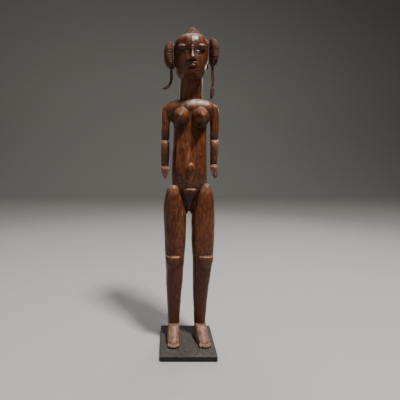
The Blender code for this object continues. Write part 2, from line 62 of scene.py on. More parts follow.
def start(add, name, **size):
    """Starts a piece from a primitive, with all else deselected."""
    bpy.ops.object.select_all(action="DESELECT")
    add(**size)
    bpy.context.object.name = name
    return bpy.context.object


sweep = start(bpy.ops.mesh.primitive_plane_add, "sweep", size=10.0, location=(0, -2.0, 0))
for edge in sweep.data.edges:
    edge.select = all(sweep.data.vertices[i].co.y > 4.9 for i in edge.vertices)
bpy.ops.object.mode_set(mode="EDIT")
bpy.ops.mesh.select_mode(type="EDGE")
for degrees in range(4, 91, 6):
    turn = math.radians(degrees)
    step = (0, 0.16 * math.cos(turn), 0.16 * math.sin(turn))
    bpy.ops.mesh.extrude_region_move(TRANSFORM_OT_translate={"value": step})
bpy.ops.mesh.extrude_region_move(TRANSFORM_OT_translate={"value": (0, 0, 5.0)})
bpy.ops.object.mode_set(mode="OBJECT")
bpy.ops.object.shade_smooth()
paper = bpy.data.materials.new("pale_paper")
paper.use_nodes = True
paper_shader = paper.node_tree.nodes["Principled BSDF"]
paper_shader.inputs["Base Color"].default_value = (0.47, 0.465, 0.455, 1)
paper_shader.inputs["Roughness"].default_value = 0.9
sweep.data.materials.append(paper)

light("key", (0.52, -0.66, 2.15), (0.0, 0.0, 0.35), 0.28, 82, (1.0, 0.96, 0.9))
light("top", (0.1, 0.25, 1.9), (0.0, 0.0, 0.4), 0.8, 8)
light("fill", (-1.4, -1.0, 0.7), (0.0, 0.0, 0.32), 1.2, 3, (0.95, 0.97, 1.0))
light("back_left", (-0.9, 1.1, 0.9), (0.0, 0.0, 0.35), 0.6, 2)
light("back_right", (0.8, 1.2, 1.1), (0.0, 0.0, 0.4), 0.5, 5)

world = bpy.data.worlds.new("studio")
bpy.context.scene.world = world
world.use_nodes = True
sky = world.node_tree.nodes["Background"]
sky.inputs["Color"].default_value = (0.86, 0.86, 0.87, 1)
sky.inputs["Strength"].default_value = 0.15

LOOKS_DOWN = 6.4  # degrees
bpy.ops.object.camera_add(location=(-0.04235, -0.5716, 0.3711), rotation=(math.radians(90 - LOOKS_DOWN), 0, 0))
camera = bpy.context.object
camera.data.sensor_width = 36.0
camera.data.lens = 26.0
camera.data.shift_x = 0.083
camera.data.clip_start = 0.01
bpy.context.scene.camera = camera

# ------------------------------------------------------------ hanging plaits
# A short plait of three twisted cords of dark vegetable fibre hangs by its top from each roll of hair.
# Thread whips it above its loose end, below which the fibres fray. The right one kicks outwards.

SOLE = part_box("carved_figure")[0].z  # the height of the soles; heights on the figure start here
HAIR_Y = -0.002
PLAIT_ROUTES = {  # x, height above the soles, half the plait's width
    "right": [
        (-0.034, 0.5434, 0.0013), (-0.0338, 0.5405, 0.0026), (-0.0334, 0.533, 0.0027), (-0.0338, 0.525, 0.0026),
        (-0.0358, 0.518, 0.0021), (-0.0395, 0.513, 0.003), (-0.0445, 0.51, 0.0027), (-0.0484, 0.5085, 0.0014),
    ],
    "left": [
        (0.044, 0.5481, 0.0013), (0.0441, 0.5452, 0.0026), (0.0446, 0.537, 0.0028), (0.0453, 0.526, 0.0029),
        (0.0452, 0.5155, 0.0021), (0.0446, 0.508, 0.0036), (0.0441, 0.499, 0.0037), (0.0428, 0.493, 0.0026),
        (0.0412, 0.49, 0.0014),
    ],
}
PLAIT_SIZES = {"right": (0.042, 0.0056), "left": (0.0587, 0.0062)}  # length and width
ROUTE_STEP = 0.0005
WHIPPING_ROW, WHIPPING_HIGH, THREAD_RADIUS = 4, 0.0034, 0.00042


def through(rows, steps):
    """Rows with steps rows to each stretch, on a curve that passes through every given one."""
    rows, out = [np.array(r, float) for r in rows], []
    for i in range(len(rows) - 1):
        p, q, r, s = rows[max(i - 1, 0)], rows[i], rows[i + 1], rows[min(i + 2, len(rows) - 1)]
        for t in np.arange(steps) / steps:
            bend, twist = 2 * p - 5 * q + 4 * r - s, 3 * q - p - 3 * r + s
            out.append(0.5 * (2 * q + (r - p) * t + bend * t**2 + twist * t**3))
    return np.array(out + [rows[-1]])


def spread(points, step):
    """The same line with its points a step apart; the columns after the third go with them."""
    far = np.r_[0, np.cumsum(np.linalg.norm(np.diff(points[:, :3], axis=0), axis=1))]
    at = np.linspace(0, far[-1], max(3, int(far[-1] / step) + 1))
    return np.stack([np.interp(at, far, points[:, i]) for i in range(points.shape[1])], 1)


def frames_along(line):
    """Each point's direction and two sideways directions, which don't spin about the line."""
    along = np.gradient(line, axis=0)
    along /= np.linalg.norm(along, axis=1)[:, None] + 1e-12
    side = np.cross(along[0], (0.3, 1.0, 0.2))
    sides = []
    for a in along:
        side = side - a * np.dot(side, a)
        side /= np.linalg.norm(side)
        sides.append(side)
    sides = np.array(sides)
    return along, sides, np.cross(along, sides)


def twisted(name, runs, sides=10, ply=2, lay=0.006, depth=0.16):
    """One mesh of closed twisted cords. A run is rows of x, y, z and radius; lay is the length of a twist."""
    verts, faces, uvs = [], [], []
    around = np.linspace(0, 2 * np.pi, sides, endpoint=False)
    for number, run in enumerate(runs):
        line, radius = run[:, :3], run[:, 3]
        along, side, up = frames_along(line)
        far = np.r_[0, np.cumsum(np.linalg.norm(np.diff(line, axis=0), axis=1))]
        start = len(verts)
        for k in range(len(line)):
            turn = 2 * np.pi * far[k] / lay + number
            width = radius[k] * (1 - depth / 2 + depth * np.abs(np.cos((around - turn) * ply / 2)))
            ring = line[k] + width[:, None] * (np.cos(around)[:, None] * side[k] + np.sin(around)[:, None] * up[k])
            verts += ring.tolist()
        for at, way in ((0, -0.5), (-1, 0.5)):
            verts.append((line[at] + along[at] * radius[at] * way).tolist())
        first, last = len(verts) - 2, len(verts) - 1
        for k in range(len(line) - 1):
            for i in range(sides):
                j = (i + 1) % sides
                low, high = start + k * sides, start + (k + 1) * sides
                faces.append((low + i, low + j, high + j, high + i))
                u, w, a, b = i / sides, (i + 1) / sides, far[k] / lay, far[k + 1] / lay
                uvs += [(u - a, a), (w - a, a), (w - b, b), (u - b, b)]
        for i in range(sides):
            j = (i + 1) % sides
            end = start + (len(line) - 1) * sides
            faces += [(start + j, start + i, first), (end + i, end + j, last)]
            uvs += [(0, 0)] * 3 + [(0, far[-1] / lay)] * 3
    mesh = bpy.data.meshes.new(name)
    mesh.from_pydata(verts, [], faces)
    mesh.uv_layers.new(name="lay").data.foreach_set("uv", np.array(uvs, np.float32).ravel())
    made = bpy.data.objects.new(name, mesh)
    bpy.context.scene.collection.objects.link(made)
    mesh.shade_smooth()
    bpy.context.view_layer.objects.active = made
    return made


def plaited(route, cords=3, turns_apart=0.0105):
    """The runs of the cords of a flat plait along a route of x, y, z and half width."""
    route = spread(route, ROUTE_STEP)
    along, side, up = frames_along(route[:, :3])
    flat = np.cross(along, (0.0, 1.0, 0.0))
    flat /= np.linalg.norm(flat, axis=1)[:, None]
    deep = np.cross(flat, along)
    far, half = np.arange(len(route)) * ROUTE_STEP, route[:, 3]
    runs = []
    for k in range(cords):
        phase = 2 * np.pi * (far / turns_apart + k / cords)
        line = route[:, :3] + flat * (0.56 * half * np.sin(phase))[:, None]
        line = line + deep * (0.4 * half * np.sin(2 * phase))[:, None]
        runs.append(np.c_[line, 0.47 * half + 0.0001])
    return runs


def wisps(seed, root, way, count, length, thickness=0.00022, scatter=0.0016, flare=0.5):
    """Runs of single loose fibres that leave a point and drift apart."""
    pick, runs = random.Random(seed), []
    for _ in range(count):
        at = np.array(root, float) + np.array([pick.gauss(0, scatter * 0.4) for _ in range(3)])
        heading = np.array(way, float) + np.array([pick.gauss(0, flare) for _ in range(3)])
        reach, rows = length * pick.uniform(0.5, 1.0), []
        for k in range(7):
            rows.append((*at, thickness * (1 - 0.1 * k)))
            heading = heading + np.array([pick.gauss(0, 0.12) for _ in range(3)])
            at = at + heading / np.linalg.norm(heading) * reach / 6
        runs.append(np.array(rows))
    return runs


class Finish:
    """A material whose colour is laid on in coats, each where a pattern lets it through."""

    def __init__(self, name):
        self.material = bpy.data.materials.new(name)
        self.material.use_nodes = True
        self.tree = self.material.node_tree
        self.place = self.node("ShaderNodeTexCoord").outputs["Object"]
        self.tone = None

    def feed(self, owner, inputs):
        """Sets or links a node's inputs, each by its name or, as i0, by its number."""
        for key, value in inputs.items():
            socket = owner.inputs[int(key[1:]) if key[1:].isdigit() else key.replace("_", " ")]
            if isinstance(value, bpy.types.NodeSocket):
                self.tree.links.new(value, socket)
            else:
                socket.default_value = value

    def node(self, kind, settings=None, **inputs):
        made = self.tree.nodes.new(kind)
        for key, value in (settings or {}).items():
            setattr(made, key, value)
        self.feed(made, inputs)
        return made

    def noise(self, scale, stretch=(1, 1, 1), detail=4, rough=0.55, bend=0, place=None):
        """Noise in object space or another space, stretched along an axis where its factor is small."""
        place = self.place if place is None else place
        if stretch != (1, 1, 1):
            place = self.node("ShaderNodeMapping", Vector=place, Scale=stretch).outputs["Vector"]
        look = {"Scale": scale, "Detail": detail, "Roughness": rough, "Distortion": bend}
        return self.node("ShaderNodeTexNoise", Vector=place, **look).outputs["Fac"]

    def ramp(self, value, *stops):
        """A colour ramp; a stop is its place and a colour or a grey."""
        made = self.node("ShaderNodeValToRGB", Fac=value)
        marks = made.color_ramp.elements
        while len(marks) < len(stops):
            marks.new(0.5)
        for mark, (at, tone) in zip(marks, stops):
            mark.position = at
            mark.color = (*tone, 1) if isinstance(tone, tuple) else (tone, tone, tone, 1)
        return made.outputs["Color"]

    def climb(self, low, high):
        """0 at one height and 1 at the other."""
        height = self.node("ShaderNodeSeparateXYZ", Vector=self.place).outputs["Z"]
        return self.node("ShaderNodeMapRange", Value=height, From_Min=low, From_Max=high).outputs["Result"]

    def times(self, a, b, kind="MULTIPLY"):
        """Two numbers multiplied, or joined in another way."""
        return self.node("ShaderNodeMath", {"operation": kind}, i0=a, i1=b).outputs[0]

    def mixed(self, share, a, b):
        return self.node("ShaderNodeMix", {"data_type": "RGBA"}, i0=share, i6=a, i7=(*b, 1)).outputs[2]

    def lay(self, colour, share, *stops, where=None):
        """Lays a colour over the tone by a share or by a ramp of it, and only where another share lets it."""
        share = self.ramp(share, *stops) if stops else share
        share = share if where is None else self.times(where, share)
        self.tone = self.mixed(share, self.tone, colour)

    def finish(self, relief, strength, depth, **inputs):
        """Joins the tone, a relief and other inputs to the shader."""
        bump = self.node("ShaderNodeBump", Strength=strength, Distance=depth, Height=relief)
        inputs.update(Base_Color=self.tone, Normal=bump.outputs["Normal"])
        self.feed(self.tree.nodes["Principled BSDF"], inputs)
        return self.material


def fibre(name, dark, light, dusty, roughness=0.72):
    """Twisted vegetable fibre: fine filaments that follow the twist, dark between them and dusty on top."""
    made = Finish(name)
    uv = made.node("ShaderNodeUVMap", {"uv_map": "lay"}).outputs["UV"]
    filaments = made.noise(3, (9, 1.4, 1), rough=0.6, place=uv)
    made.tone = made.ramp(filaments, (0.3, dark), (0.72, light))
    made.lay(dusty, made.noise(130, detail=3, rough=0.5), (0.42, 0), (0.66, 0.65))
    made.lay([1.5 * c for c in dusty], made.noise(420, detail=2, rough=0.5), (0.56, 0), (0.68, 0.7))
    return made.finish(filaments, 0.7, 0.0003, Roughness=roughness, Specular_IOR_Level=0.25)


def fitted(piece, finish, body, stands_for=None):
    """Gives a piece its finish and slot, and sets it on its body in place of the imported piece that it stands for."""
    piece.data.materials.append(finish)
    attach(piece, body)
    if stands_for:
        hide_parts(stands_for)


dark_fibre = fibre("dark_twisted_fibre", (0.009, 0.0034, 0.0022), (0.09, 0.029, 0.0155), (0.135, 0.052, 0.034))
binding_thread = fibre("binding_thread", (0.007, 0.004, 0.003), (0.032, 0.015, 0.01), (0.06, 0.032, 0.024))
for side, route in PLAIT_ROUTES.items():
    rows = [(x, HAIR_Y, SOLE + height, half) for x, height, half in route]
    line = through(rows, 6)
    swinging = f"hanging_plait_{side}"
    tip, before = line[-1, :3], line[-4, :3]
    fray = wisps(3 if side == "right" else 5, tip - 0.25 * (tip - before), tip - before, 16, 0.0065, flare=0.0012)
    stray = []
    for k in range(4, len(line) - 4, 4):
        out = np.array((random.Random(k).uniform(-1, 1), random.Random(k + 50).uniform(-1, 0.3), 0.4))
        stray += wisps(k, line[k, :3], out, 1, 0.0045, 0.00016, flare=0.2)
    plait = twisted(f"plait_{side}_cords", plaited(line), lay=0.0042)
    loose = twisted(f"plait_{side}_loose_fibres", fray + stray, sides=5, depth=0.0)
    fitted(plait, dark_fibre, swinging, f"plait_{side}")
    fitted(loose, dark_fibre, swinging)

    middle = 6 * WHIPPING_ROW
    centre, direction = line[middle, :3], line[middle + 2, :3] - line[middle - 2, :3]
    direction /= np.linalg.norm(direction)
    across = np.cross(direction, (0, 1, 0))
    turns = np.linspace(0, 5 * 2 * np.pi, 90)
    half = rows[WHIPPING_ROW][3] + 0.0003
    coil = centre + direction * ((turns / turns[-1] - 0.5) * WHIPPING_HIGH)[:, None]
    coil = coil + (half * np.cos(turns))[:, None] * across
    coil = coil + (0.85 * half * np.sin(turns))[:, None] * np.array((0, 1, 0))
    coil = np.c_[coil, np.full(len(coil), THREAD_RADIUS)]
    whipping = twisted(f"plait_whipping_{side}_turns", [coil], sides=7, lay=0.002)
    fitted(whipping, binding_thread, swinging, f"plait_whipping_{side}")
    length, wide = PLAIT_SIZES[side]

# ------------------------------------------------------------ the carving
# The whole figure is one billet of dense brown hardwood, carved standing with its arms free of its sides.
# Each limb steps forward at the elbow, wrist, hip, knee and ankle. It was smoothed, oiled and long handled.


CARVING = "figure_on_base"
VOXEL = 0.0008
MOST_FACES = 185000


def raised(name, sections, roundness=0.9, steps=3, cuts=5, place=None):
    """A solid raised from a plane that is rounded, extruded and resized to each level section.

    A section is height, x, y, half width and half depth, in millimetres above the soles."""
    rows = through(sections, steps) * 0.001
    made = start(bpy.ops.mesh.primitive_plane_add, name, size=2)
    bpy.ops.object.mode_set(mode="EDIT")
    bpy.ops.mesh.subdivide(number_cuts=cuts)
    bpy.ops.transform.tosphere(value=roundness)
    made.update_from_editmode()
    reach = max(v.co.x for v in made.data.vertices)
    z, x, y, wide, deep = rows[0]
    bpy.ops.transform.resize(value=(wide / reach, deep / reach, 1), center_override=(0, 0, 0))
    bpy.ops.transform.translate(value=(x, y, z))
    for low, high in zip(rows, rows[1:]):
        step = (high[1] - low[1], high[2] - low[2], high[0] - low[0])
        bpy.ops.mesh.extrude_region_move(TRANSFORM_OT_translate={"value": step})
        size = (high[3] / low[3], high[4] / low[4], 1)
        bpy.ops.transform.resize(value=size, center_override=(high[1], high[2], high[0]))
    bpy.ops.mesh.select_all(action="SELECT")
    bpy.ops.mesh.normals_make_consistent(inside=False)
    bpy.ops.object.mode_set(mode="OBJECT")
    if place:
        made.data.transform(place)
    made.data.transform(Matrix.Translation((0, 0, SOLE)))
    return made


def swelling(name, centre, radii, tilt=(0, 0, 0)):
    """A rounded swelling of the wood, from a ball: its centre and radii in millimetres above the soles."""
    made = start(bpy.ops.mesh.primitive_uv_sphere_add, name, segments=32, ring_count=20, radius=0.001)
    made.scale = radii
    made.rotation_euler = [math.radians(t) for t in tilt]
    made.location = (centre[0] * 0.001, centre[1] * 0.001, SOLE + centre[2] * 0.001)
    bpy.ops.object.transform_apply()
    return made


forms = [
    raised("torso", [
        (300, 3.2, 12, 31, 13), (311, 3.4, 10, 33.6, 17.6), (319, 3.4, 8.6, 34.6, 20.6),
        (328, 3.3, 8.2, 34.8, 23.2), (345, 2.6, 7.5, 34.8, 26.2), (361, 2.5, 7.5, 34.4, 26.8),
        (380, 2.5, 8, 33.8, 25.8), (400, 2.8, 8.8, 33.2, 24.2), (420, 3.2, 9.5, 32.6, 22.6),
        (441, 3.6, 9.5, 32.8, 21.2), (460, 3.2, 9, 35.5, 19.6), (470, 3, 8.6, 36.6, 18.8),
        (479, 2.9, 8.8, 33, 16.4), (486, 2.9, 9.4, 27, 13),
    ], roundness=0.7),
    raised("shoulders", [
        (449, 2.8, 8, 49, 8), (456, 2.8, 8, 52.8, 12), (464, 2.7, 7.6, 54.4, 16.6),
        (470, 2.5, 7.2, 53.6, 18.8), (475, 2.4, 7.6, 51.6, 18.8), (480, 2.3, 8.2, 48.2, 17.8),
        (484, 2.2, 8.8, 43.6, 16.6), (487.4, 2.4, 9.4, 37, 14.8), (489.4, 2.6, 10, 31, 12.4),
    ], roundness=0.78),
    raised("neck", [
        (478, 4.2, 11.4, 23.2, 15.6), (489, 4.4, 11.4, 23, 15.8), (505, 4.4, 10.2, 22.7, 17.2),
        (520, 4.4, 8.4, 22.8, 19.4), (536, 4.3, 7.6, 22.8, 20.2),
    ], roundness=0.92),
    raised("head", [
        (526.5, 3.8, 2, 18.5, 20), (529, 3.6, 0.4, 21.6, 25), (534, 2.9, -0.4, 25, 29.2),
        (541, 2.9, 0.6, 28.4, 31.6), (548, 2.6, 2, 30.6, 33.2), (556, 2.8, 3.6, 32.3, 34.8),
        (565, 3, 4.6, 33, 36.2), (574, 3.1, 5, 33.1, 37.2), (582, 3, 5.2, 33.4, 37.4),
        (590, 3.1, 5.4, 32.4, 35.6), (595.5, 3.8, 5.6, 29.8, 32.4), (599.5, 4.3, 5.8, 26.2, 28.4),
        (603, 4.7, 6, 21.4, 23), (606, 5.2, 6, 14.8, 15.6), (610.6, 5.4, 6, 10.4, 10.6),
    ], roundness=0.93, steps=2),
    raised("pubis", [
        (272, 1.5, 14, 6, 10), (279, 1.9, 13, 9, 13.4), (287, 2.3, 12, 13, 16.2),
        (296, 2.7, 10, 16.5, 18.4), (305, 3, 7.6, 18, 19.6), (312, 3.2, 5, 18.6, 20),
        (316.4, 3.2, 3.6, 18.6, 19.8), (318.4, 3.2, 4.2, 18, 18.2),
    ], roundness=0.85),
    raised("nose", [
        (549.8, 3.1, -31, 5, 4.6), (551.4, 3.1, -32.2, 6.2, 6.4), (554, 3.1, -32.6, 5.8, 6.8),
        (558, 3.1, -32, 4.3, 5.8), (564, 3.1, -30.8, 3.2, 4.6), (570, 3.1, -30, 3.4, 4),
        (576, 3.1, -28, 5, 4.6),
    ], roundness=0.9),
    swelling("chin", (3.1, -25.2, 535.4), (9.0, 7.0, 6.4)),
    swelling("mouth", (3.1, -25.6, 543.6), (13.0, 8.0, 8.0)),
    swelling("upper_lip", (3.1, -32.0, 545.4), (9.2, 3.4, 2.3)),
    swelling("lower_lip", (3.1, -31.6, 541.4), (7.8, 3.6, 2.5)),
]
for sign in (-1, 1):
    forms.append(swelling("nostril_wing", (3.1 + sign * 5.4, -31.4, 552.0), (2.9, 3.8, 2.7)))
    forms.append(swelling("ear", (3.1 + sign * 32.6, 13.0, 557.0), (3.4, 5.6, 9.6), (-14, 0, sign * 8)))
    forms.append(swelling("brow", (3.1 + sign * 13.5, -21.4, 574.5), (13.5, 9.0, 6.0), (0, sign * -6, sign * -14)))
# The breasts and the navel are raised pointing up, then laid forward. Their rows are height and radius.
BREAST = [(-8, 17.8), (0, 17.2), (6, 15.4), (12, 12.6), (17.5, 9.0)]
BREAST += [(21.5, 5.8), (24, 3.6), (26.2, 2.9), (28, 2.7), (28.8, 1.6)]
for sign in (-1, 1):
    centre = Matrix.Translation((0.0033 + sign * 0.0186, -0.0085, 0.4535))
    aim = centre @ Matrix.Rotation(math.radians(sign * 5), 4, "Z") @ Matrix.Rotation(math.radians(97), 4, "X")
    forms.append(raised("breast", [(h, 0, 0.1 * h, r, 1.1 * r) for h, r in BREAST], roundness=1.0, place=aim))
navel = [(-6, 5.4), (0, 5.0), (2.6, 6.2), (5.4, 6.5), (7.6, 5.6), (8.9, 3.2), (9.2, 1.2)]
aim = Matrix.Translation((0.003, -0.0178, 0.3612)) @ Matrix.Rotation(math.radians(93), 4, "X")
forms.append(raised("navel", [(h, 0, 0, r, r) for h, r in navel], roundness=1.0, place=aim))

ARMS = {
    "right": {
        "upper_arm": [
            (411, -45.3, 11, 7.6, 5.2), (416, -45.3, 10.2, 7.9, 6.4), (425, -45.2, 8.2, 8.2, 8.7),
            (440, -45, 7.6, 8.4, 10), (455, -44.6, 7.6, 8.9, 11), (466, -43.6, 8, 9.9, 11.6),
            (475, -41.6, 8, 9.6, 11), (482, -38.5, 8, 6.5, 8),
        ],
        "forearm": [
            (358, -46, 8.4, 6.8, 4.6), (363, -46, 7.4, 7.2, 5.8), (372, -45.8, 5.4, 7.7, 7.8),
            (388, -45.5, 4.4, 8.1, 9.3), (400, -45.3, 3.6, 8.2, 10.4), (406.5, -45.3, 3.8, 8.2, 10.4),
            (410.6, -45.3, 5, 8, 9), (413, -45.3, 7.2, 7.6, 6.6),
        ],
        "hand": [
            (337, -45.4, 0.4, 1, 1.6), (338.4, -45.4, 0.5, 2, 2.6), (342, -45.7, 0.8, 3.7, 4),
            (348, -46.2, 1.2, 6, 5.4), (354, -46.3, 1.6, 7.3, 7.4), (357.6, -46.1, 2.2, 7.6, 8.2),
            (360.4, -46, 3.4, 7.4, 7.2), (362.4, -46, 5.2, 6.8, 5.2),
        ],
        "thumb": ((-40.2, -2.2, 352.0), (2.0, 2.4, 9.0), (-6, 16, 0)),
    },
    "left": {
        "upper_arm": [
            (411, 50.8, 11, 7.2, 5.2), (416, 50.8, 10.2, 7.6, 6.4), (425, 50.9, 8.2, 8, 8.7),
            (440, 51, 7.6, 8.4, 10), (455, 50.5, 7.6, 9, 11), (466, 49, 8, 10.2, 11.6),
            (475, 46.6, 8, 10, 11), (482, 43.2, 8, 7, 8),
        ],
        "forearm": [
            (360.5, 50.8, 8.4, 6.4, 4.6), (365.5, 50.8, 7.4, 6.7, 5.8), (374, 50.8, 5.4, 7.1, 7.8),
            (388, 50.8, 4.4, 7.4, 9.3), (400, 50.8, 3.6, 7.6, 10.4), (406.5, 50.8, 3.8, 7.6, 10.4),
            (410.6, 50.8, 5, 7.5, 9), (413, 50.8, 7.2, 7.2, 6.6),
        ],
        "hand": [
            (338.6, 53.2, 0.4, 1.4, 1.8), (340, 53.1, 0.5, 2.6, 2.8), (344, 52.9, 0.8, 4.4, 4.2),
            (350, 52.3, 1.2, 6.1, 5.5), (356, 51.6, 1.6, 6.9, 7.4), (360.2, 51, 2.2, 7.1, 8.2),
            (363.2, 50.8, 3.4, 6.9, 7.2), (365.4, 50.8, 5.2, 6.4, 5.2),
        ],
        "thumb": ((45.2, -2.2, 355.0), (2.0, 2.4, 9.5), (-6, -16, 0)),
    },
}
for side, arm in ARMS.items():
    for part in ("upper_arm", "forearm", "hand"):
        forms.append(raised(part, arm[part], roundness=0.8, steps=2, cuts=4))
    forms.append(swelling("thumb", *arm["thumb"]))

LEGS = {
    "right": [
        (24, -27.4, 17, 11.8, 10), (30.5, -27.4, 16.8, 12.1, 10.6), (40, -27.3, 16.6, 12.5, 11.4),
        (60, -27.3, 16.4, 13.7, 13.2), (87, -27, 16, 15.2, 15.8), (110, -26.6, 14.8, 16.6, 18),
        (130, -26.2, 13, 17.7, 19.4), (150, -26, 10.5, 18.3, 20.2), (165, -25.9, 8.5, 19.2, 20.6),
        (181, -25.9, 7, 20.2, 20.8), (200, -25.6, 6, 21.2, 22), (225, -25.3, 5.5, 22.1, 23.4),
        (250, -25.4, 5.6, 22.9, 24.6), (268, -26, 6, 22.9, 25.2), (284, -27.8, 6, 20.8, 25.2),
        (296, -28.6, 5.6, 18.6, 24.4), (306, -29, 5, 16.2, 22.8), (314, -29.2, 4, 13.8, 20.8),
        (320, -29.3, 2.5, 10.8, 17.8), (324, -29.3, 0.5, 6.8, 13), (325.8, -29.3, -1, 3.2, 8),
    ],
    "left": [
        (24, 28.2, 17, 11.8, 10), (30.5, 28.2, 16.8, 12.1, 10.6), (40, 28.3, 16.6, 12.5, 11.4),
        (60, 28.4, 16.4, 13.7, 13.2), (87, 28.7, 16, 15.3, 15.8), (110, 29.2, 14.8, 16.8, 18),
        (130, 30, 13, 18.1, 19.4), (150, 30.9, 10.5, 19.2, 20.2), (165, 31.4, 8.5, 20.4, 20.6),
        (181, 31.6, 7, 21.6, 20.8), (200, 31.3, 6, 22.6, 22), (225, 31, 5.5, 23.3, 23.4),
        (250, 30.8, 5.6, 23.4, 24.6), (268, 31, 6, 22.8, 25.2), (284, 32.2, 6, 20.8, 25.2),
        (296, 33, 5.6, 18.6, 24.4), (307, 33.6, 5, 16, 22.8), (315, 34, 4, 13.2, 20.8),
        (321.5, 34.6, 2.5, 10.2, 17.8), (326, 35, 0.5, 6.4, 13), (327.8, 35.2, -1, 3, 8),
    ],
}
KNEE_X, TOE_TURN = {"right": -29.0, "left": 35.2}, {"right": -2, "left": 9}
KNEECAP = [
    (158.5, -6.6, 6, 6.2), (161.5, -6.6, 10.2, 8.4), (167, -6.6, 13.6, 10.4), (173, -6.6, 15.6, 11.8),
    (179.4, -6.4, 16.4, 12.8), (182.8, -6, 16.2, 12.2), (184.4, -5.2, 15.4, 10.2),
]
FOOT = [
    (0, 0.8, 12.2, 29), (1.5, 0.6, 13.4, 30.2), (5, 0.8, 14, 30.6), (9, 1.4, 13.9, 30), (13, 3.2, 13.5, 27.8),
    (17, 5.8, 13, 24.8), (22, 9, 12.5, 20.8), (26.5, 11.8, 12.2, 17.4), (29.4, 13.6, 12, 15.2),
    (30.8, 14.6, 11.4, 13.6),
]
TOES = [(-9.9, -25.4, 3.4), (-4.5, -28.2, 2.9), (0.5, -29.0, 2.8), (5.3, -28.2, 2.7), (9.9, -25.6, 2.6)]


def turned_out(side, unit):
    """Sets a straight foot under its leg and turns its toes out. The unit is a millimetre's length."""
    _, x, y, _, _ = LEGS[side][1]
    turn = Matrix.Rotation(math.radians(TOE_TURN[side]), 4, "Z")
    return Matrix.Translation((x * unit, y * unit, 0)) @ turn @ Matrix.Translation((0, -y * unit, 0))


for side, leg in LEGS.items():
    forms.append(raised("leg", leg, roundness=0.84, steps=2))
    kneecap = [(h, KNEE_X[side], y, w, d) for h, y, w, d in KNEECAP]
    forms.append(raised("kneecap", kneecap, roundness=0.84))
    turned = turned_out(side, 0.001)
    forms.append(raised("foot", [(h, 0, y, w, d) for h, y, w, d in FOOT], roundness=0.78, place=turned))
    big_toe = 1 if side == "left" else -1
    for x, y, radius in TOES:
        at = turned @ Vector((big_toe * x * 0.001, y * 0.001, 0.0))
        forms.append(swelling("toe", (at.x * 1000, at.y * 1000, 3.6), (radius, 5.2, 3.4), (4, 0, TOE_TURN[side])))
for sign in (-1, 1):
    forms.append(swelling("buttock", (3.2 + sign * 18.5, 16.0, 289.0), (21.5, 21.5, 33.0), (6, 0, 0)))
    forms.append(swelling("shoulder_blade", (3.0 + sign * 20.0, 17.0, 462.0), (17.0, 8.5, 17.0), (0, sign * 12, 0)))

bpy.ops.object.select_all(action="DESELECT")
for form in forms:
    form.select_set(True)
bpy.context.view_layer.objects.active = forms[0]
bpy.ops.object.join()
carving = bpy.context.object
carving.name = "carved_figure_wood"


def worked(piece, kind, work, **settings):
    """Works the active piece by a modifier, and applies it."""
    made = piece.modifiers.new(work, kind)
    for key, value in settings.items():
        setattr(made, key, value)
    bpy.ops.object.modifier_apply(modifier=work)


worked(carving, "REMESH", "one_billet", mode="VOXEL", voxel_size=VOXEL)
worked(carving, "SMOOTH", "rubbed_down", iterations=5, factor=0.5)
for work, size, depth in (("adze_facets", 0.026, 0.0012), ("knife_facets", 0.008, 0.0004)):
    texture = bpy.data.textures.new(work, "CLOUDS")
    texture.noise_scale = size
    worked(carving, "DISPLACE", work, texture=texture, strength=depth, mid_level=0.5)


def numbers(rows, key, wide=3):
    """One property of all of a mesh's vertices or faces, as an array."""
    out = np.empty(len(rows) * wide, np.float32)
    rows.foreach_get(key, out)
    return out.reshape(-1, wide)


def points_of(mesh):
    """The places and normals of a mesh's vertices."""
    return numbers(mesh.vertices, "co").astype(float), numbers(mesh.vertex_normals, "vector").astype(float)


def move_points(mesh, places):
    mesh.vertices.foreach_set("co", places.astype(np.float32).ravel())
    mesh.update()


def gap_to(places, line):
    """Each place's distance to a line of points."""
    nearest = np.full(len(places), 1e9)
    for a, b in zip(line, line[1:]):
        along = b - a
        t = np.clip((places - a) @ along / (along @ along), 0, 1)
        nearest = np.minimum(nearest, np.linalg.norm(places - a - t[:, None] * along, axis=1))
    return nearest


def at_front(x, z, y=0.0):
    """A point given in millimetres, with its height above the soles."""
    return np.array((x * 0.001, y * 0.001, SOLE + z * 0.001))


def cut(line, depth, width, flat=0.0):
    """Cuts a groove in the carving along a line of points. All in metres."""
    places, normals = points_of(carving.data)
    line = np.array(line, float)
    low, high = line.min(0) - 5 * width - flat, line.max(0) + 5 * width + flat
    near = np.flatnonzero(((places > low) & (places < high)).all(1))
    away = np.maximum(gap_to(places[near], line) - flat, 0)
    places[near] -= normals[near] * (depth * np.exp(-((away / width) ** 2)))[:, None]
    move_points(carving.data, places)


def finer(low, high, facing=None):
    """Subdivides the carving's faces whose centres lie in a box, once."""
    mesh = carving.data
    bpy.ops.object.mode_set(mode="EDIT")
    bpy.ops.mesh.select_mode(type="FACE")
    bpy.ops.mesh.select_all(action="DESELECT")
    bpy.ops.object.mode_set(mode="OBJECT")
    centres = numbers(mesh.polygons, "center")
    chosen = ((centres > low) & (centres < high)).all(1)
    if facing is not None:
        chosen &= numbers(mesh.polygons, "normal") @ np.array(facing) > 0.1
    mesh.polygons.foreach_set("select", chosen)
    bpy.ops.object.mode_set(mode="EDIT")
    bpy.ops.mesh.subdivide(number_cuts=1, smoothness=0)
    bpy.ops.object.mode_set(mode="OBJECT")


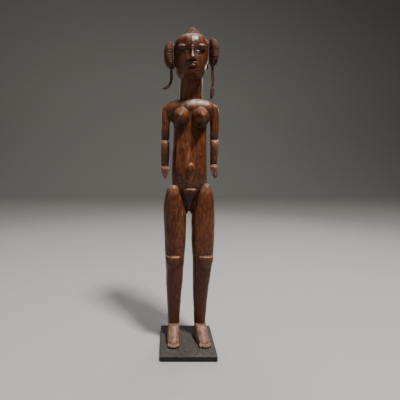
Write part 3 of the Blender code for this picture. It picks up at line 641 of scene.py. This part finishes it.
# The belly's shallow central band above and below the navel, the furrow of the spine and the cleft under it.
belly = [at_front(3.4, z, -16.0 - 3.0 * math.exp(-(((z - 356) / 45) ** 2))) for z in (470, 440, 410, 390, 371)]
cut(belly, 0.00045, 0.0011, flat=0.0017)
cut(belly[:-1], 0.0004, 0.0011, flat=0.0017)
below = [at_front(2.9, z, -17.5 + 0.17 * (345 - z)) for z in (350, 338, 324)]
cut(below, 0.0006, 0.0012, flat=0.0014)
spine = [at_front(3.2, z, 30.5 + 2.5 * math.exp(-(((z - 365) / 60) ** 2))) for z in (478, 440, 400, 360, 322)]
cut(spine, 0.0016, 0.0034)
cleft = [at_front(3.0, z, y) for z, y in ((318, 31), (304, 36), (290, 38), (276, 35), (266, 27))]
cut(cleft, 0.0035, 0.0022)


def push(centre, radii, move):
    """Moves the surface round a point, fading out over the given radii. In millimetres above the soles."""
    places, _ = points_of(carving.data)
    middle, reach = at_front(centre[0], centre[2], centre[1]), np.array(radii) * 0.001
    share = np.exp(-(((places - middle) / reach) ** 2).sum(1))
    places += share[:, None] * np.array(move) * 0.001
    move_points(carving.data, places)


# The face is a calm one with closed eyes: the sockets are hollowed, the lids raised in them, then slit.
# Its eyes stand halfway up the head, its nose and mouth at the usual thirds below them.
FACE_X, EYE_APART, EYE_Z = 3.1, 13.2, 566.0
for sign in (-1, 1):
    eye_x = FACE_X + sign * EYE_APART
    push((eye_x, -29.0, EYE_Z + 0.6), (9.5, 12.0, 5.4), (0, 3.2, 0))
    push((FACE_X + sign * 16, -26.0, 552.5), (9.0, 12.0, 8.0), (0, -1.0, 0))
finer(at_front(-24, 528, -60), at_front(30, 582, -14), facing=(0, -1, 0))
for sign in (-1, 1):
    eye_x = FACE_X + sign * EYE_APART
    push((eye_x, -28.0, EYE_Z - 0.2), (5.8, 9.0, 3.0), (0, -2.7, 0))
    slit, crease = [], []
    for t in np.linspace(-1, 1, 9):
        slit.append(at_front(eye_x + t * 6.4, EYE_Z - 1.3 + 0.9 * t * t, -29.4 + 2.0 * t * t * (1 + 0.4 * sign * t)))
        crease.append(at_front(eye_x + t * 6.6, EYE_Z + 2.9 - 1.7 * t * t, -29.0 + 2.0 * t * t))
    cut(slit, 0.0011, 0.0006)
    cut(crease, 0.0005, 0.0007)
    push((FACE_X + sign * 3.0, -34.5, 549.6), (1.3, 1.7, 1.2), (0, 0.4, 1.6))
    wing = [at_front(FACE_X + sign * (6.6 + 1.0 * t), 553.6 - 3.6 * t, -32.0 + 0.6 * t) for t in (0, 0.5, 1)]
    cut(wing, 0.0006, 0.0008)
lips = []
for t in np.linspace(-1, 1, 11):
    lips.append(at_front(FACE_X + t * 9.0, 543.4 + 0.5 * math.cos(3.1 * t) - 0.3, -34.6 + 4.2 * t * t))
cut(lips, 0.0014, 0.0006)
cut([at_front(FACE_X, 547.6, -34.0), at_front(FACE_X, 549.4, -34.0)], 0.0006, 0.0009)
cut([at_front(FACE_X + t, 538.0, -31.0) for t in (-4, 0, 4)], 0.0008, 0.0013)

# The ears are hollowed, and the toes and fingers parted.
for sign in (-1, 1):
    push((FACE_X + sign * 36.0, 11.6, 557.5), (2.6, 2.4, 5.0), (sign * -2.0, 0.8, 0))
for side in LEGS:
    inner, heel = 1 if side == "left" else -1, turned_out(side, 1)
    toes = heel @ Vector((0, -26, 0))
    finer(at_front(toes.x - 15, -1, toes.y - 12), at_front(toes.x + 15, 12, toes.y + 12))
    for (x, y, r), (x2, y2, r2) in zip(TOES, TOES[1:]):
        between, middle = inner * (x + r + x2 - r2) / 2, (y + y2) / 2
        root, tip = heel @ Vector((between * 0.94, middle + 3.0, 0)), heel @ Vector((between, middle - 6.0, 0))
        parting = [at_front(root.x, 9.0, root.y), at_front(tip.x, 5.0, tip.y), at_front(tip.x, 1.0, tip.y - 0.6)]
        cut(parting, 0.0014, 0.0007)
    for x, y, r in TOES:
        nail = heel @ Vector((inner * x * 1.02, y - 4.6, 0))
        push((nail.x, nail.y, 5.0), (0.62 * r, 1.2, 1.6), (0, 0.5, -0.3))
for side, arm in ARMS.items():
    for across in (-2.6, 0.2, 3.0):
        x = arm["hand"][2][1] + across
        cut([at_front(x, z, -3.6 - 0.1 * (z - 340)) for z in (340, 344, 349)], 0.0006, 0.0006)

# One drying check runs down the belly beside the band, and the soles are drilled for the mounting rods.
check = [at_front(x, z, -17.8) for x, z in ((8.2, 392), (7.6, 384), (8.1, 377), (7.5, 370))]
cut(check, 0.0013, 0.0006)
places, _ = points_of(carving.data)
places[:, 2] = np.maximum(places[:, 2], SOLE)
move_points(carving.data, places)
carving.data.calc_loop_triangles()
worked(carving, "DECIMATE", "fewer_faces", ratio=min(1.0, MOST_FACES / len(carving.data.loop_triangles)))

ROD_PLACES = {"right": (-0.0276, 0.017), "left": (0.0278, 0.017)}
ROD_BORE, NUT_BORE, ROD_RISE = 0.0023, 0.0068, 0.0525


def cut_away(solid, cutters, solver="EXACT"):
    """Takes the cutters out of a solid, and removes them."""
    bpy.ops.object.select_all(action="DESELECT")
    for cutter in cutters:
        cutter.select_set(True)
    bpy.context.view_layer.objects.active = cutters[0]
    bpy.ops.object.join()
    cutter = bpy.context.object
    bpy.ops.object.select_all(action="DESELECT")
    bpy.context.view_layer.objects.active = solid
    solid.select_set(True)
    worked(solid, "BOOLEAN", "cut_away", object=cutter, solver=solver, operation="DIFFERENCE")
    bpy.data.objects.remove(cutter)


def drill(x, y, low, high, radius):
    """A cylinder that cuts a bore."""
    at = (x, y, (low + high) / 2)
    bpy.ops.mesh.primitive_cylinder_add(vertices=32, radius=radius, depth=high - low, location=at)
    return bpy.context.object


cut_away(carving, [drill(*place, SOLE - 0.01, SOLE + ROD_RISE, ROD_BORE) for place in ROD_PLACES.values()], "FAST")
carving.data.shade_smooth()

# How each place was handled: red is worn ridges against dark hollows, green is ledges that face up, and
# blue is the cut lines, which hold old polish and dust.
mesh = carving.data
mesh.color_attributes.active_color = mesh.color_attributes.new("handling", "FLOAT_COLOR", "POINT")
bpy.ops.object.mode_set(mode="VERTEX_PAINT")
angles = {"dirt_angle": math.radians(60), "clean_angle": math.radians(120)}
bpy.ops.paint.vertex_color_dirt(blur_strength=1.0, blur_iterations=3, **angles)
bpy.ops.object.mode_set(mode="OBJECT")
colours = numbers(mesh.attributes["handling"].data, "color", 4)
open_air = colours[:, 0]
colours[:, 0] = np.clip(0.5 + 0.16 * np.log2(np.maximum(open_air, 1e-4) / np.median(open_air)), 0, 1)
places, normals = points_of(mesh)
colours[:, 1] = np.clip((normals[:, 2] - 0.25) / 0.6, 0, 1)
in_check = np.exp(-((gap_to(places, check) / 0.0009) ** 2))
beside_belly = np.maximum(gap_to(places, belly) - 0.0016, 0) / 0.0012
colours[:, 2] = np.maximum(in_check, 0.75 * np.exp(-(beside_belly**2)))
mesh.attributes["handling"].data.foreach_set("color", colours.ravel())


wood = Finish("patinated_hardwood")


def near(centre, radii):
    """How near the wood is to a point given in millimetres above the soles: 0 from the radii on, and 1 inside."""
    middle, scale = at_front(centre[0], centre[2], centre[1]), [1000.0 / r for r in radii]
    shift = [-c * k for c, k in zip(middle, scale)]
    local = wood.node("ShaderNodeMapping", Vector=wood.place, Scale=scale, Location=shift).outputs["Vector"]
    far = wood.node("ShaderNodeVectorMath", {"operation": "LENGTH"}, i0=local).outputs["Value"]
    smooth = {"interpolation_type": "SMOOTHSTEP"}
    return wood.node("ShaderNodeMapRange", smooth, Value=far, From_Min=1.0, From_Max=0.35).outputs["Result"]


handling = wood.node("ShaderNodeAttribute", {"attribute_name": "handling"}).outputs["Color"]
ridge, ledge, line = wood.node("ShaderNodeSeparateColor", Color=handling).outputs
grain = wood.noise(420, (1, 1, 0.045), 6, 0.62, 0.5)
figure = wood.noise(90, (1, 1, 0.1), 4, 0.55, 0.8)
patches = wood.noise(30, (1, 1, 0.55), 5, 0.6)
mottle = wood.noise(170, (1, 1, 0.5), 5, 0.65)
specks = wood.noise(900, (1, 1, 0.5), 2, 0.5)
wood.tone = wood.ramp(
    grain, (0.3, (0.024, 0.0064, 0.0026)), (0.5, (0.074, 0.0185, 0.0056)), (0.72, (0.155, 0.046, 0.013))
)
wood.lay((0.13, 0.034, 0.0098), figure, (0.4, 0), (0.64, 0.6))
wood.lay((0.026, 0.0075, 0.0036), patches, (0.46, 0), (0.66, 0.65))
wood.lay((0.185, 0.064, 0.023), mottle, (0.5, 0), (0.66, 0.55))
wood.lay((0.034, 0.0105, 0.0052), mottle, (0.34, 0.55), (0.46, 0))
# The shins are red, and the wood is worn to a bright brown beside the belly's band.
shins = wood.climb(SOLE + 0.18, SOLE + 0.11)
wood.lay((0.05, 0.0088, 0.0028), mottle, (0.35, 0.45), (0.65, 0.85), where=shins)
wood.lay((0.26, 0.086, 0.02), figure, (0.36, 0), (0.54, 0.95), where=near((3.4, -18, 370), (13, 14, 34)))
wood.lay((0.25, 0.08, 0.018), grain, (0.4, 0), (0.62, 0.85), where=near((2.2, -17, 338), (7, 12, 13)))
# Hands, elbows, hips and shoulders get a painted highlight: their tops, where the light falls, are laid paler.
painted_highlight_tops = 0.0
for centre, radii in (
    ((-46, 0, 350), (12, 14, 17)),
    ((52, 0, 352), (12, 14, 17)),
    ((-45.5, -4, 404), (12, 12, 13)),
    ((50.8, -4, 404), (12, 12, 13)),
    ((-29, -12, 318), (14, 16, 17)),
    ((34, -12, 319), (14, 16, 17)),
    ((0, -4, 482), (44, 16, 12)),
):
    painted_highlight_tops = wood.times(painted_highlight_tops, near(centre, radii), "MAXIMUM")
wood.lay((0.21, 0.1, 0.058), mottle, (0.34, 0.2), (0.62, 0.75), where=painted_highlight_tops)
# The head is smoked, and painted shade darkens the pubis and the undersides of the breasts.
smoked = wood.climb(SOLE + 0.518, SOLE + 0.56)
wood.lay((0.044, 0.0135, 0.0062), patches, (0.32, 0.3), (0.6, 0.8), where=smoked)
painted_shade = near((2.6, -10, 297), (21, 20, 24))
for sign in (-1, 1):
    painted_shade = wood.times(painted_shade, near((3.3 + sign * 19.6, -20, 437), (19, 20, 17)), "MAXIMUM")
wood.lay((0.014, 0.0045, 0.0026), wood.times(painted_shade, 0.72))
# Cut lines and hollows keep dark polish, and ridges are rubbed pale. The feet are rubbed pale with a painted
# highlight, and on the ledges that face up dust lies with a painted highlight.
wood.lay((0.04, 0.023, 0.02), line)
hollow = wood.ramp(ridge, (0.1, 0.85), (0.27, 0))
wood.lay((0.012, 0.0042, 0.0028), hollow)
rubbed = wood.ramp(ridge, (0.68, 0), (0.92, 0.6))
wood.lay((0.27, 0.11, 0.046), mottle, (0.35, 0.15), (0.62, 0.9), where=rubbed)
# The feet: paler colour, partly wear and partly a painted highlight.
foot = wood.climb(SOLE + 0.034, SOLE + 0.027)
wood.lay((0.225, 0.129, 0.088), mottle, (0.36, 0.3), (0.62, 0.88), where=foot)
# Dust and a painted highlight on the ledges that face up.
dust_and_highlight = wood.times(ledge, wood.ramp(mottle, (0.36, 0.05), (0.66, 0.5)))
wood.lay((0.3, 0.165, 0.115), dust_and_highlight)
wood.lay((0.008, 0.0035, 0.0025), specks, (0.26, 0.85), (0.34, 0))
wood.lay((0.29, 0.145, 0.09), specks, (0.68, 0), (0.76, 0.5))
slant = wood.node("ShaderNodeMapping", Vector=wood.place, Rotation=(0.35, 0.5, 0.2), Scale=(1, 1, 0.03))
scratches = wood.ramp(wood.noise(520, detail=1, place=slant.outputs["Vector"]), (0.68, 0), (0.72, 1))
wood.lay((0.27, 0.15, 0.1), patches, (0.5, 0), (0.6, 0.75), where=scratches)
matt = wood.ramp(patches, (0.35, 0.31), (0.65, 0.44))
for share, rough in ((hollow, 0.7), (wood.times(foot, 0.8), 0.54), (wood.times(dust_and_highlight, 0.6), 0.6)):
    matt = wood.mixed(share, matt, (rough, rough, rough))
relief = wood.times(wood.times(grain, wood.times(figure, 1.3), "ADD"), wood.times(specks, 0.9), "ADD")
polish = {"Specular_IOR_Level": 0.26, "Coat_Weight": 0.06, "Coat_Roughness": 0.3}
wood.finish(relief, 0.45, 0.00035, Roughness=matt, **polish)
fitted(carving, wood.material, CARVING, "carved_figure")

# ------------------------------------------------------------ forehead tacks
# Four small brass upholstery tacks, struck into the forehead in a shallow row. Each has a domed head with
# a rolled rim on a short shank, and its brass has gone brown.

TACKS = [(-51, 0.5696), (-10, 0.579), (5, 0.579), (49, 0.573)]  # degrees from the front, height above the soles
TACK_PROFILE = [(-4, 0.1), (-3.2, 0.38), (-0.1, 0.4), (-0.05, 1.1), (0.1, 1.25), (0.3, 1.12), (0.5, 0.74), (0.6, 0.3)]
brass = Finish("dull_brass")
tarnish = brass.noise(1400, detail=5, rough=0.6)
brass.tone = brass.ramp(tarnish, (0.35, (0.08, 0.045, 0.025)), (0.6, (0.26, 0.155, 0.085)), (0.75, (0.4, 0.27, 0.17)))
brass.finish(tarnish, 0.3, 0.0001, Roughness=brass.ramp(tarnish, (0.35, 0.6), (0.7, 0.36)), Metallic=0.85)
bpy.context.view_layer.update()
for number, (degrees, tack_height) in enumerate(TACKS, 1):
    way = Vector((math.sin(math.radians(degrees)), -math.cos(math.radians(degrees)), 0))
    middle = Vector((0.0033, 0.004, SOLE + tack_height))
    _, where, facing, _ = carving.ray_cast(middle + way * 0.08, -way)
    aim = facing.lerp(way, 0.5).to_track_quat("Z", "Y").to_matrix().to_4x4()
    tack = raised(
        f"forehead_tack_{number}_domed",
        [(h, 0, 0, r, r) for h, r in TACK_PROFILE],
        roundness=1.0,
        steps=1,
        cuts=4,
        place=Matrix.Translation(where - Vector((0, 0, SOLE))) @ aim,
    )
    tack.data.shade_smooth()
    fitted(tack, brass.material, CARVING, f"forehead_tack_{number}")

# ------------------------------------------------------------ topknot
# Hair made of one hand-twisted cord of dark fibre, coiled to a point over a peg in the crown. Three turns of thinner
# cord ring its foot: dark, light and dark, and the light one's pale colour is a painted highlight.

KNOT_X, KNOT_Y = 0.0054, 0.006


def coil_round(x, y, rows, steps_a_turn=34, wobble=0.0002, seed=1):
    """A run that winds upright round x, y through rows of height above the soles, distance out and radius."""
    turned = through([(k, *row) for k, row in enumerate(rows)], steps_a_turn)
    pick, run = random.Random(seed), []
    drift = np.array([pick.gauss(0, 1) for _ in range(len(turned))])
    drift = np.convolve(drift, np.ones(9) / 9, "same") * wobble
    for (turn, high, out, radius), off in zip(turned, drift):
        angle = 2 * math.pi * turn
        run.append((x + (out + off) * math.cos(angle), y + (out + off) * math.sin(angle), SOLE + high + off, radius))
    return np.array(run)


KNOT = [
    (0.6098, 0.0122, 0.0012), (0.6112, 0.0119, 0.0017), (0.6134, 0.0099, 0.0017), (0.6158, 0.0078, 0.0017),
    (0.618, 0.0055, 0.0016), (0.6198, 0.0032, 0.0014), (0.6206, 0.0009, 0.001),
]
knot = twisted("topknot_coil", [coil_round(KNOT_X, KNOT_Y, KNOT)], sides=12, ply=3, lay=0.0065, depth=0.3)
fitted(knot, dark_fibre, CARVING, "topknot")

# The middle ring's pale colour is a painted highlight.
highlight_ring_cord = fibre("painted_highlight_ring_cord", (0.055, 0.026, 0.016), (0.2, 0.105, 0.066), (0.27, 0.16, 0.11))
for name, high, out, finish, slot in (
    ("topknot_ring_low", 0.606, 0.0162, binding_thread, "thread"),
    ("topknot_ring_middle", 0.6079, 0.015, highlight_ring_cord, "dark_fibre"),
    ("topknot_ring_high", 0.6097, 0.0136, binding_thread, "thread"),
):
    ring_rows = [(high, out, 0.001), (high + 0.0002, out - 0.0001, 0.001)]
    ring = twisted(name, [coil_round(KNOT_X, KNOT_Y, ring_rows, 90, seed=int(high * 1e4))], sides=8, lay=0.003)
    fitted(ring, finish, CARVING)

# ------------------------------------------------------------ hair rolls
# Each side roll is a bundle of dark fibre strands drawn to a point at both ends, and pegged to the head. Stiff
# cord is wound tightly round its lower two thirds, and raffia ties it at the peg.

ROLLS = {  # height above the soles, x, half width, half depth
    "right": [
        (0.5443, -0.034, 0.0026, 0.0026), (0.5475, -0.0352, 0.0044, 0.0055), (0.553, -0.0372, 0.0056, 0.0085),
        (0.561, -0.039, 0.0066, 0.0105), (0.57, -0.0392, 0.0067, 0.011), (0.579, -0.039, 0.0068, 0.0108),
        (0.586, -0.0384, 0.0066, 0.009), (0.5905, -0.0368, 0.0049, 0.006), (0.5925, -0.0358, 0.0022, 0.0028),
    ],
    "left": [
        (0.549, 0.044, 0.0026, 0.0026), (0.5525, 0.0446, 0.0048, 0.006), (0.558, 0.0456, 0.0062, 0.009),
        (0.565, 0.0464, 0.0074, 0.0112), (0.574, 0.0464, 0.0075, 0.0118), (0.583, 0.0461, 0.0076, 0.0115),
        (0.5905, 0.045, 0.0076, 0.0098), (0.596, 0.0432, 0.0056, 0.0068), (0.5982, 0.0418, 0.0024, 0.003),
    ],
}
STRANDS, BINDING_PITCH = 22, 0.0027
TIES = {"right": (-0.03045, 0.586), "left": (0.03605, 0.589)}
roll_fibre = fibre("roll_fibre", (0.007, 0.0026, 0.0017), (0.075, 0.024, 0.012), (0.12, 0.044, 0.026))
roll_cord = fibre("roll_binding_cord", (0.006, 0.0022, 0.0015), (0.085, 0.027, 0.0135), (0.145, 0.055, 0.033))
raffia = fibre("raffia", (0.2, 0.12, 0.045), (0.42, 0.29, 0.12), (0.3, 0.2, 0.11), roughness=0.6)
for side, roll_rows in ROLLS.items():
    rows = through(roll_rows, 10)
    first_bound, last_bound = roll_rows[1][0] + 0.0015, roll_rows[5][0] + 0.0005
    pick, runs = random.Random(side), []
    for k in range(STRANDS):
        run, loose = [], pick.uniform(-0.0003, 0.0003)
        for high, x, wide, deep in rows:
            inside = min(high - first_bound, last_bound - high)
            bound = 0.0011 * min(1, max(0, inside / 0.002))
            thick = min(0.55 * math.pi * (wide + deep) / STRANDS, 0.0018)
            angle = 2 * math.pi * k / STRANDS + 14 * (high - rows[0][0])
            out = thick + bound + (loose if bound < 0.0005 else 0)
            x, y = x + (wide - out) * math.cos(angle), HAIR_Y + (deep - out) * math.sin(angle)
            run.append((x, y, SOLE + high, thick))
        runs.append(spread(np.array(run), 0.0008))
    roll = twisted(f"hair_roll_{side}_strands", runs, sides=8, ply=3, lay=0.006, depth=0.25)
    fitted(roll, roll_fibre, CARVING, f"hair_roll_{side}")

    turns, run = np.arange(0, (last_bound - first_bound) / BINDING_PITCH, 1 / 44), []
    pick = random.Random(side + "cord")
    drift = np.convolve([pick.gauss(0, 1) for _ in turns], np.ones(11) / 11, "same") * 0.0004
    for turn, off in zip(turns, drift):
        high, angle = first_bound + turn * BINDING_PITCH, 2 * math.pi * turn
        x, wide, deep = (np.interp(high, rows[:, 0], rows[:, c]) for c in (1, 2, 3))
        out = 0.0003 + off
        place = (x + (wide + out) * math.cos(angle), HAIR_Y + (deep + out) * math.sin(angle), SOLE + high + off)
        run.append((*place, 0.00135))
    ends = wisps(11 if side == "right" else 12, run[0][:3], (0.2, -0.6, -1.0), 5, 0.004, 0.0002, flare=0.4)
    bound = twisted(f"roll_binding_{side}_turns", [np.array(run)], sides=12, ply=3, lay=0.0052, depth=0.34)
    fitted(bound, roll_cord, CARVING, f"roll_binding_{side}")
    stray = []
    for k in range(26):
        high, x, wide, deep = rows[pick.randrange(6, len(rows) - 6)]
        angle = pick.uniform(0, 2 * math.pi)
        way = (math.cos(angle), math.sin(angle), pick.uniform(-0.8, 0.8))
        root = (x + wide * way[0], HAIR_Y + deep * way[1], SOLE + high)
        stray += wisps(k, root, way, 1, 0.0038, 0.00014, 0.0002, 0.5)
    fuzz = twisted(f"hair_roll_{side}_loose_fibres", ends + stray, sides=5, depth=0.0)
    fitted(fuzz, roll_fibre, CARVING)

    x, high = TIES[side]
    turns = np.linspace(0, 4, 110)
    out = 0.0022 + 0.0015 * turns / 4
    coil = np.c_[
        x + 0.00028 * np.sin(turns * 9),
        HAIR_Y + out * np.cos(2 * np.pi * turns),
        SOLE + high + out * np.sin(2 * np.pi * turns),
        np.full(len(turns), 0.00042),
    ]
    tie = twisted(f"root_tie_{side}_raffia", [coil], sides=8, ply=2, lay=0.0035, depth=0.2)
    fitted(tie, raffia, CARVING, f"root_tie_{side}")

# The pegs under the topknot and in the rolls are whittled sticks of pale wood.
stick = Finish("whittled_peg_wood")
fibres = stick.noise(700, (0.12, 1, 1), 5, 0.6)
stick.tone = stick.ramp(fibres, (0.32, (0.13, 0.065, 0.025)), (0.66, (0.34, 0.2, 0.09)))
stick.finish(fibres, 0.5, 0.0002, Roughness=stick.ramp(fibres, (0.3, 0.75), (0.7, 0.55)))
for name in ("topknot_peg", "hair_peg_right", "hair_peg_left"):
    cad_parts[name].material_slots[0].material = stick.material

# ------------------------------------------------------------ the base
# A square block of blackened wood with rubbed and knocked arrises. Two bores, counterbored from below, take
# the rods that hold the figure, and a square of black felt is glued over them.

block_low, block_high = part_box("base_block")
middle = (block_low + block_high) / 2
block = start(bpy.ops.mesh.primitive_cube_add, "base_block_worn", size=1.0, location=middle)
block.scale = block_high - block_low
bpy.ops.object.transform_apply()
worked(block, "BEVEL", "rubbed_arris", width=0.0009, segments=3)
under, counterbore = block_low.z - 0.01, block_low.z + 0.0048
cut_away(block, [drill(*place, under, block_high.z + 0.01, ROD_BORE) for place in ROD_PLACES.values()])
cut_away(block, [drill(*place, under, counterbore, NUT_BORE) for place in ROD_PLACES.values()])
pick, knocks = random.Random(8), []
half = block_high.x
for k in range(22):
    along, radius = pick.uniform(-0.95, 0.95) * half, pick.uniform(0.0012, 0.0035)
    out = half + radius - pick.uniform(0.0007, 0.0011)
    edge = [(along, -out), (along, out), (-out, along), (out, along)][k % 4]
    lift = block_high.z + 0.55 * radius - 0.0004
    bpy.ops.mesh.primitive_ico_sphere_add(subdivisions=3, radius=radius, location=(*edge, lift))
    knock = bpy.context.object
    stretch = pick.uniform(0.8, 2.2)
    knock.scale = (stretch, 1, pick.uniform(0.7, 1.2)) if k % 4 < 2 else (1, stretch, 0.9)
    bpy.ops.object.transform_apply()
    knocks.append(knock)
cut_away(block, knocks)
bpy.ops.object.shade_smooth_by_angle(angle=math.radians(32))

# The top is laid paler than the sides as painted light from above, and is dusty with dark blotches and pale scuffs.
# Bare wood shows along its rubbed arrises, with a painted highlight along the top edge.
black = Finish("blackened_wood")
pores = black.noise(520, (0.06, 1, 1), 6, 0.65)
cloudy = black.noise(42, detail=6, rough=0.62)
blotches = black.noise(160, detail=5, rough=0.65)
grit = black.noise(1500, detail=2)
scuffs = black.noise(330, detail=4, rough=0.7)
top = black.climb(block_high.z - 0.0007, block_high.z - 0.0002)
arris = black.climb(block_high.z - 0.0016, block_high.z - 0.0004)
minus = {"operation": "SUBTRACT", "use_clamp": True}
bare_arris_and_highlight = black.node("ShaderNodeMath", minus, i0=arris, i1=top).outputs[0]
black.tone = black.ramp(pores, (0.35, (0.005, 0.0045, 0.0042)), (0.68, (0.018, 0.015, 0.014)))
# Painted light: the top is laid paler than the black sides.
black.lay((0.062, 0.054, 0.049), cloudy, (0.3, 0.55), (0.7, 0.95), where=top)
black.lay((0.045, 0.041, 0.039), blotches, (0.52, 0), (0.66, 0.55), where=top)
black.lay((0.03, 0.027, 0.025), pores, (0.3, 0.6), (0.46, 0), where=top)
black.lay((0.19, 0.14, 0.112), blotches, (0.45, 0.1), (0.62, 0.9), where=bare_arris_and_highlight)
black.lay((0.15, 0.128, 0.114), scuffs, (0.54, 0), (0.66, 0.6), where=top)
black.lay((0.016, 0.0135, 0.012), scuffs, (0.36, 0.75), (0.47, 0))
black.lay((0.22, 0.2, 0.18), grit, (0.66, 0), (0.74, 0.6))
relief = black.times(pores, black.times(grit, 0.5), "ADD")
matt = black.ramp(cloudy, (0.3, 0.5), (0.7, 0.72))
black.finish(relief, 0.5, 0.0003, Roughness=matt, Specular_IOR_Level=0.3)
fitted(block, black.material, CARVING, "base_block")

felt_low, felt_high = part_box("base_felt")
wide = {"x_subdivisions": 54, "y_subdivisions": 54, "size": felt_high.x - felt_low.x}
felt = start(bpy.ops.mesh.primitive_grid_add, "base_felt_cloth", **wide)
worked(felt, "SOLIDIFY", "pressed", thickness=felt_high.z - felt_low.z - 0.0001, offset=0.0)
places, _ = points_of(felt.data)
pick = random.Random(4)
places[:, 2] += (felt_low.z + felt_high.z) / 2 + np.array([pick.uniform(-1, 1) for _ in places]) * 0.00004
edge = np.abs(places[:, :2]).max(1) > felt_high.x - 0.0001
places[edge, :2] *= 1 - np.array([pick.uniform(0, 0.006) for _ in range(edge.sum())])[:, None]
move_points(felt.data, places)
felt.data.shade_smooth()
cloth = Finish("black_felt")
hairs = cloth.noise(1800, detail=4, rough=0.7, bend=2)
cloth.tone = cloth.ramp(hairs, (0.35, (0.006, 0.006, 0.007)), (0.7, (0.034, 0.033, 0.034)))
cloth.lay((0.06, 0.056, 0.052), cloth.noise(90, detail=3), (0.55, 0), (0.75, 0.4))
cloth.finish(hairs, 0.8, 0.0003, Roughness=0.95, Sheen_Weight=0.4)
fitted(felt, cloth.material, CARVING, "base_felt")

# The threaded rods, washers and nuts that hold the figure down are plain zinc-coated steel.
steel = Finish("coated_steel")
threads = {"bands_direction": "Z", "wave_profile": "TRI"}
thread = steel.node("ShaderNodeTexWave", threads, Vector=steel.place, Scale=220).outputs["Fac"]
bloom = steel.noise(500, detail=5)
steel.tone = steel.ramp(bloom, (0.35, (0.33, 0.33, 0.33)), (0.65, (0.56, 0.56, 0.55)))
steel.finish(thread, 0.5, 0.0002, Roughness=steel.ramp(bloom, (0.35, 0.48), (0.65, 0.3)), Metallic=1.0)
for side in ROD_PLACES:
    for part in ("rod", "washer", "nut"):
        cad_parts[f"mounting_{part}_{side}"].material_slots[0].material = steel.material
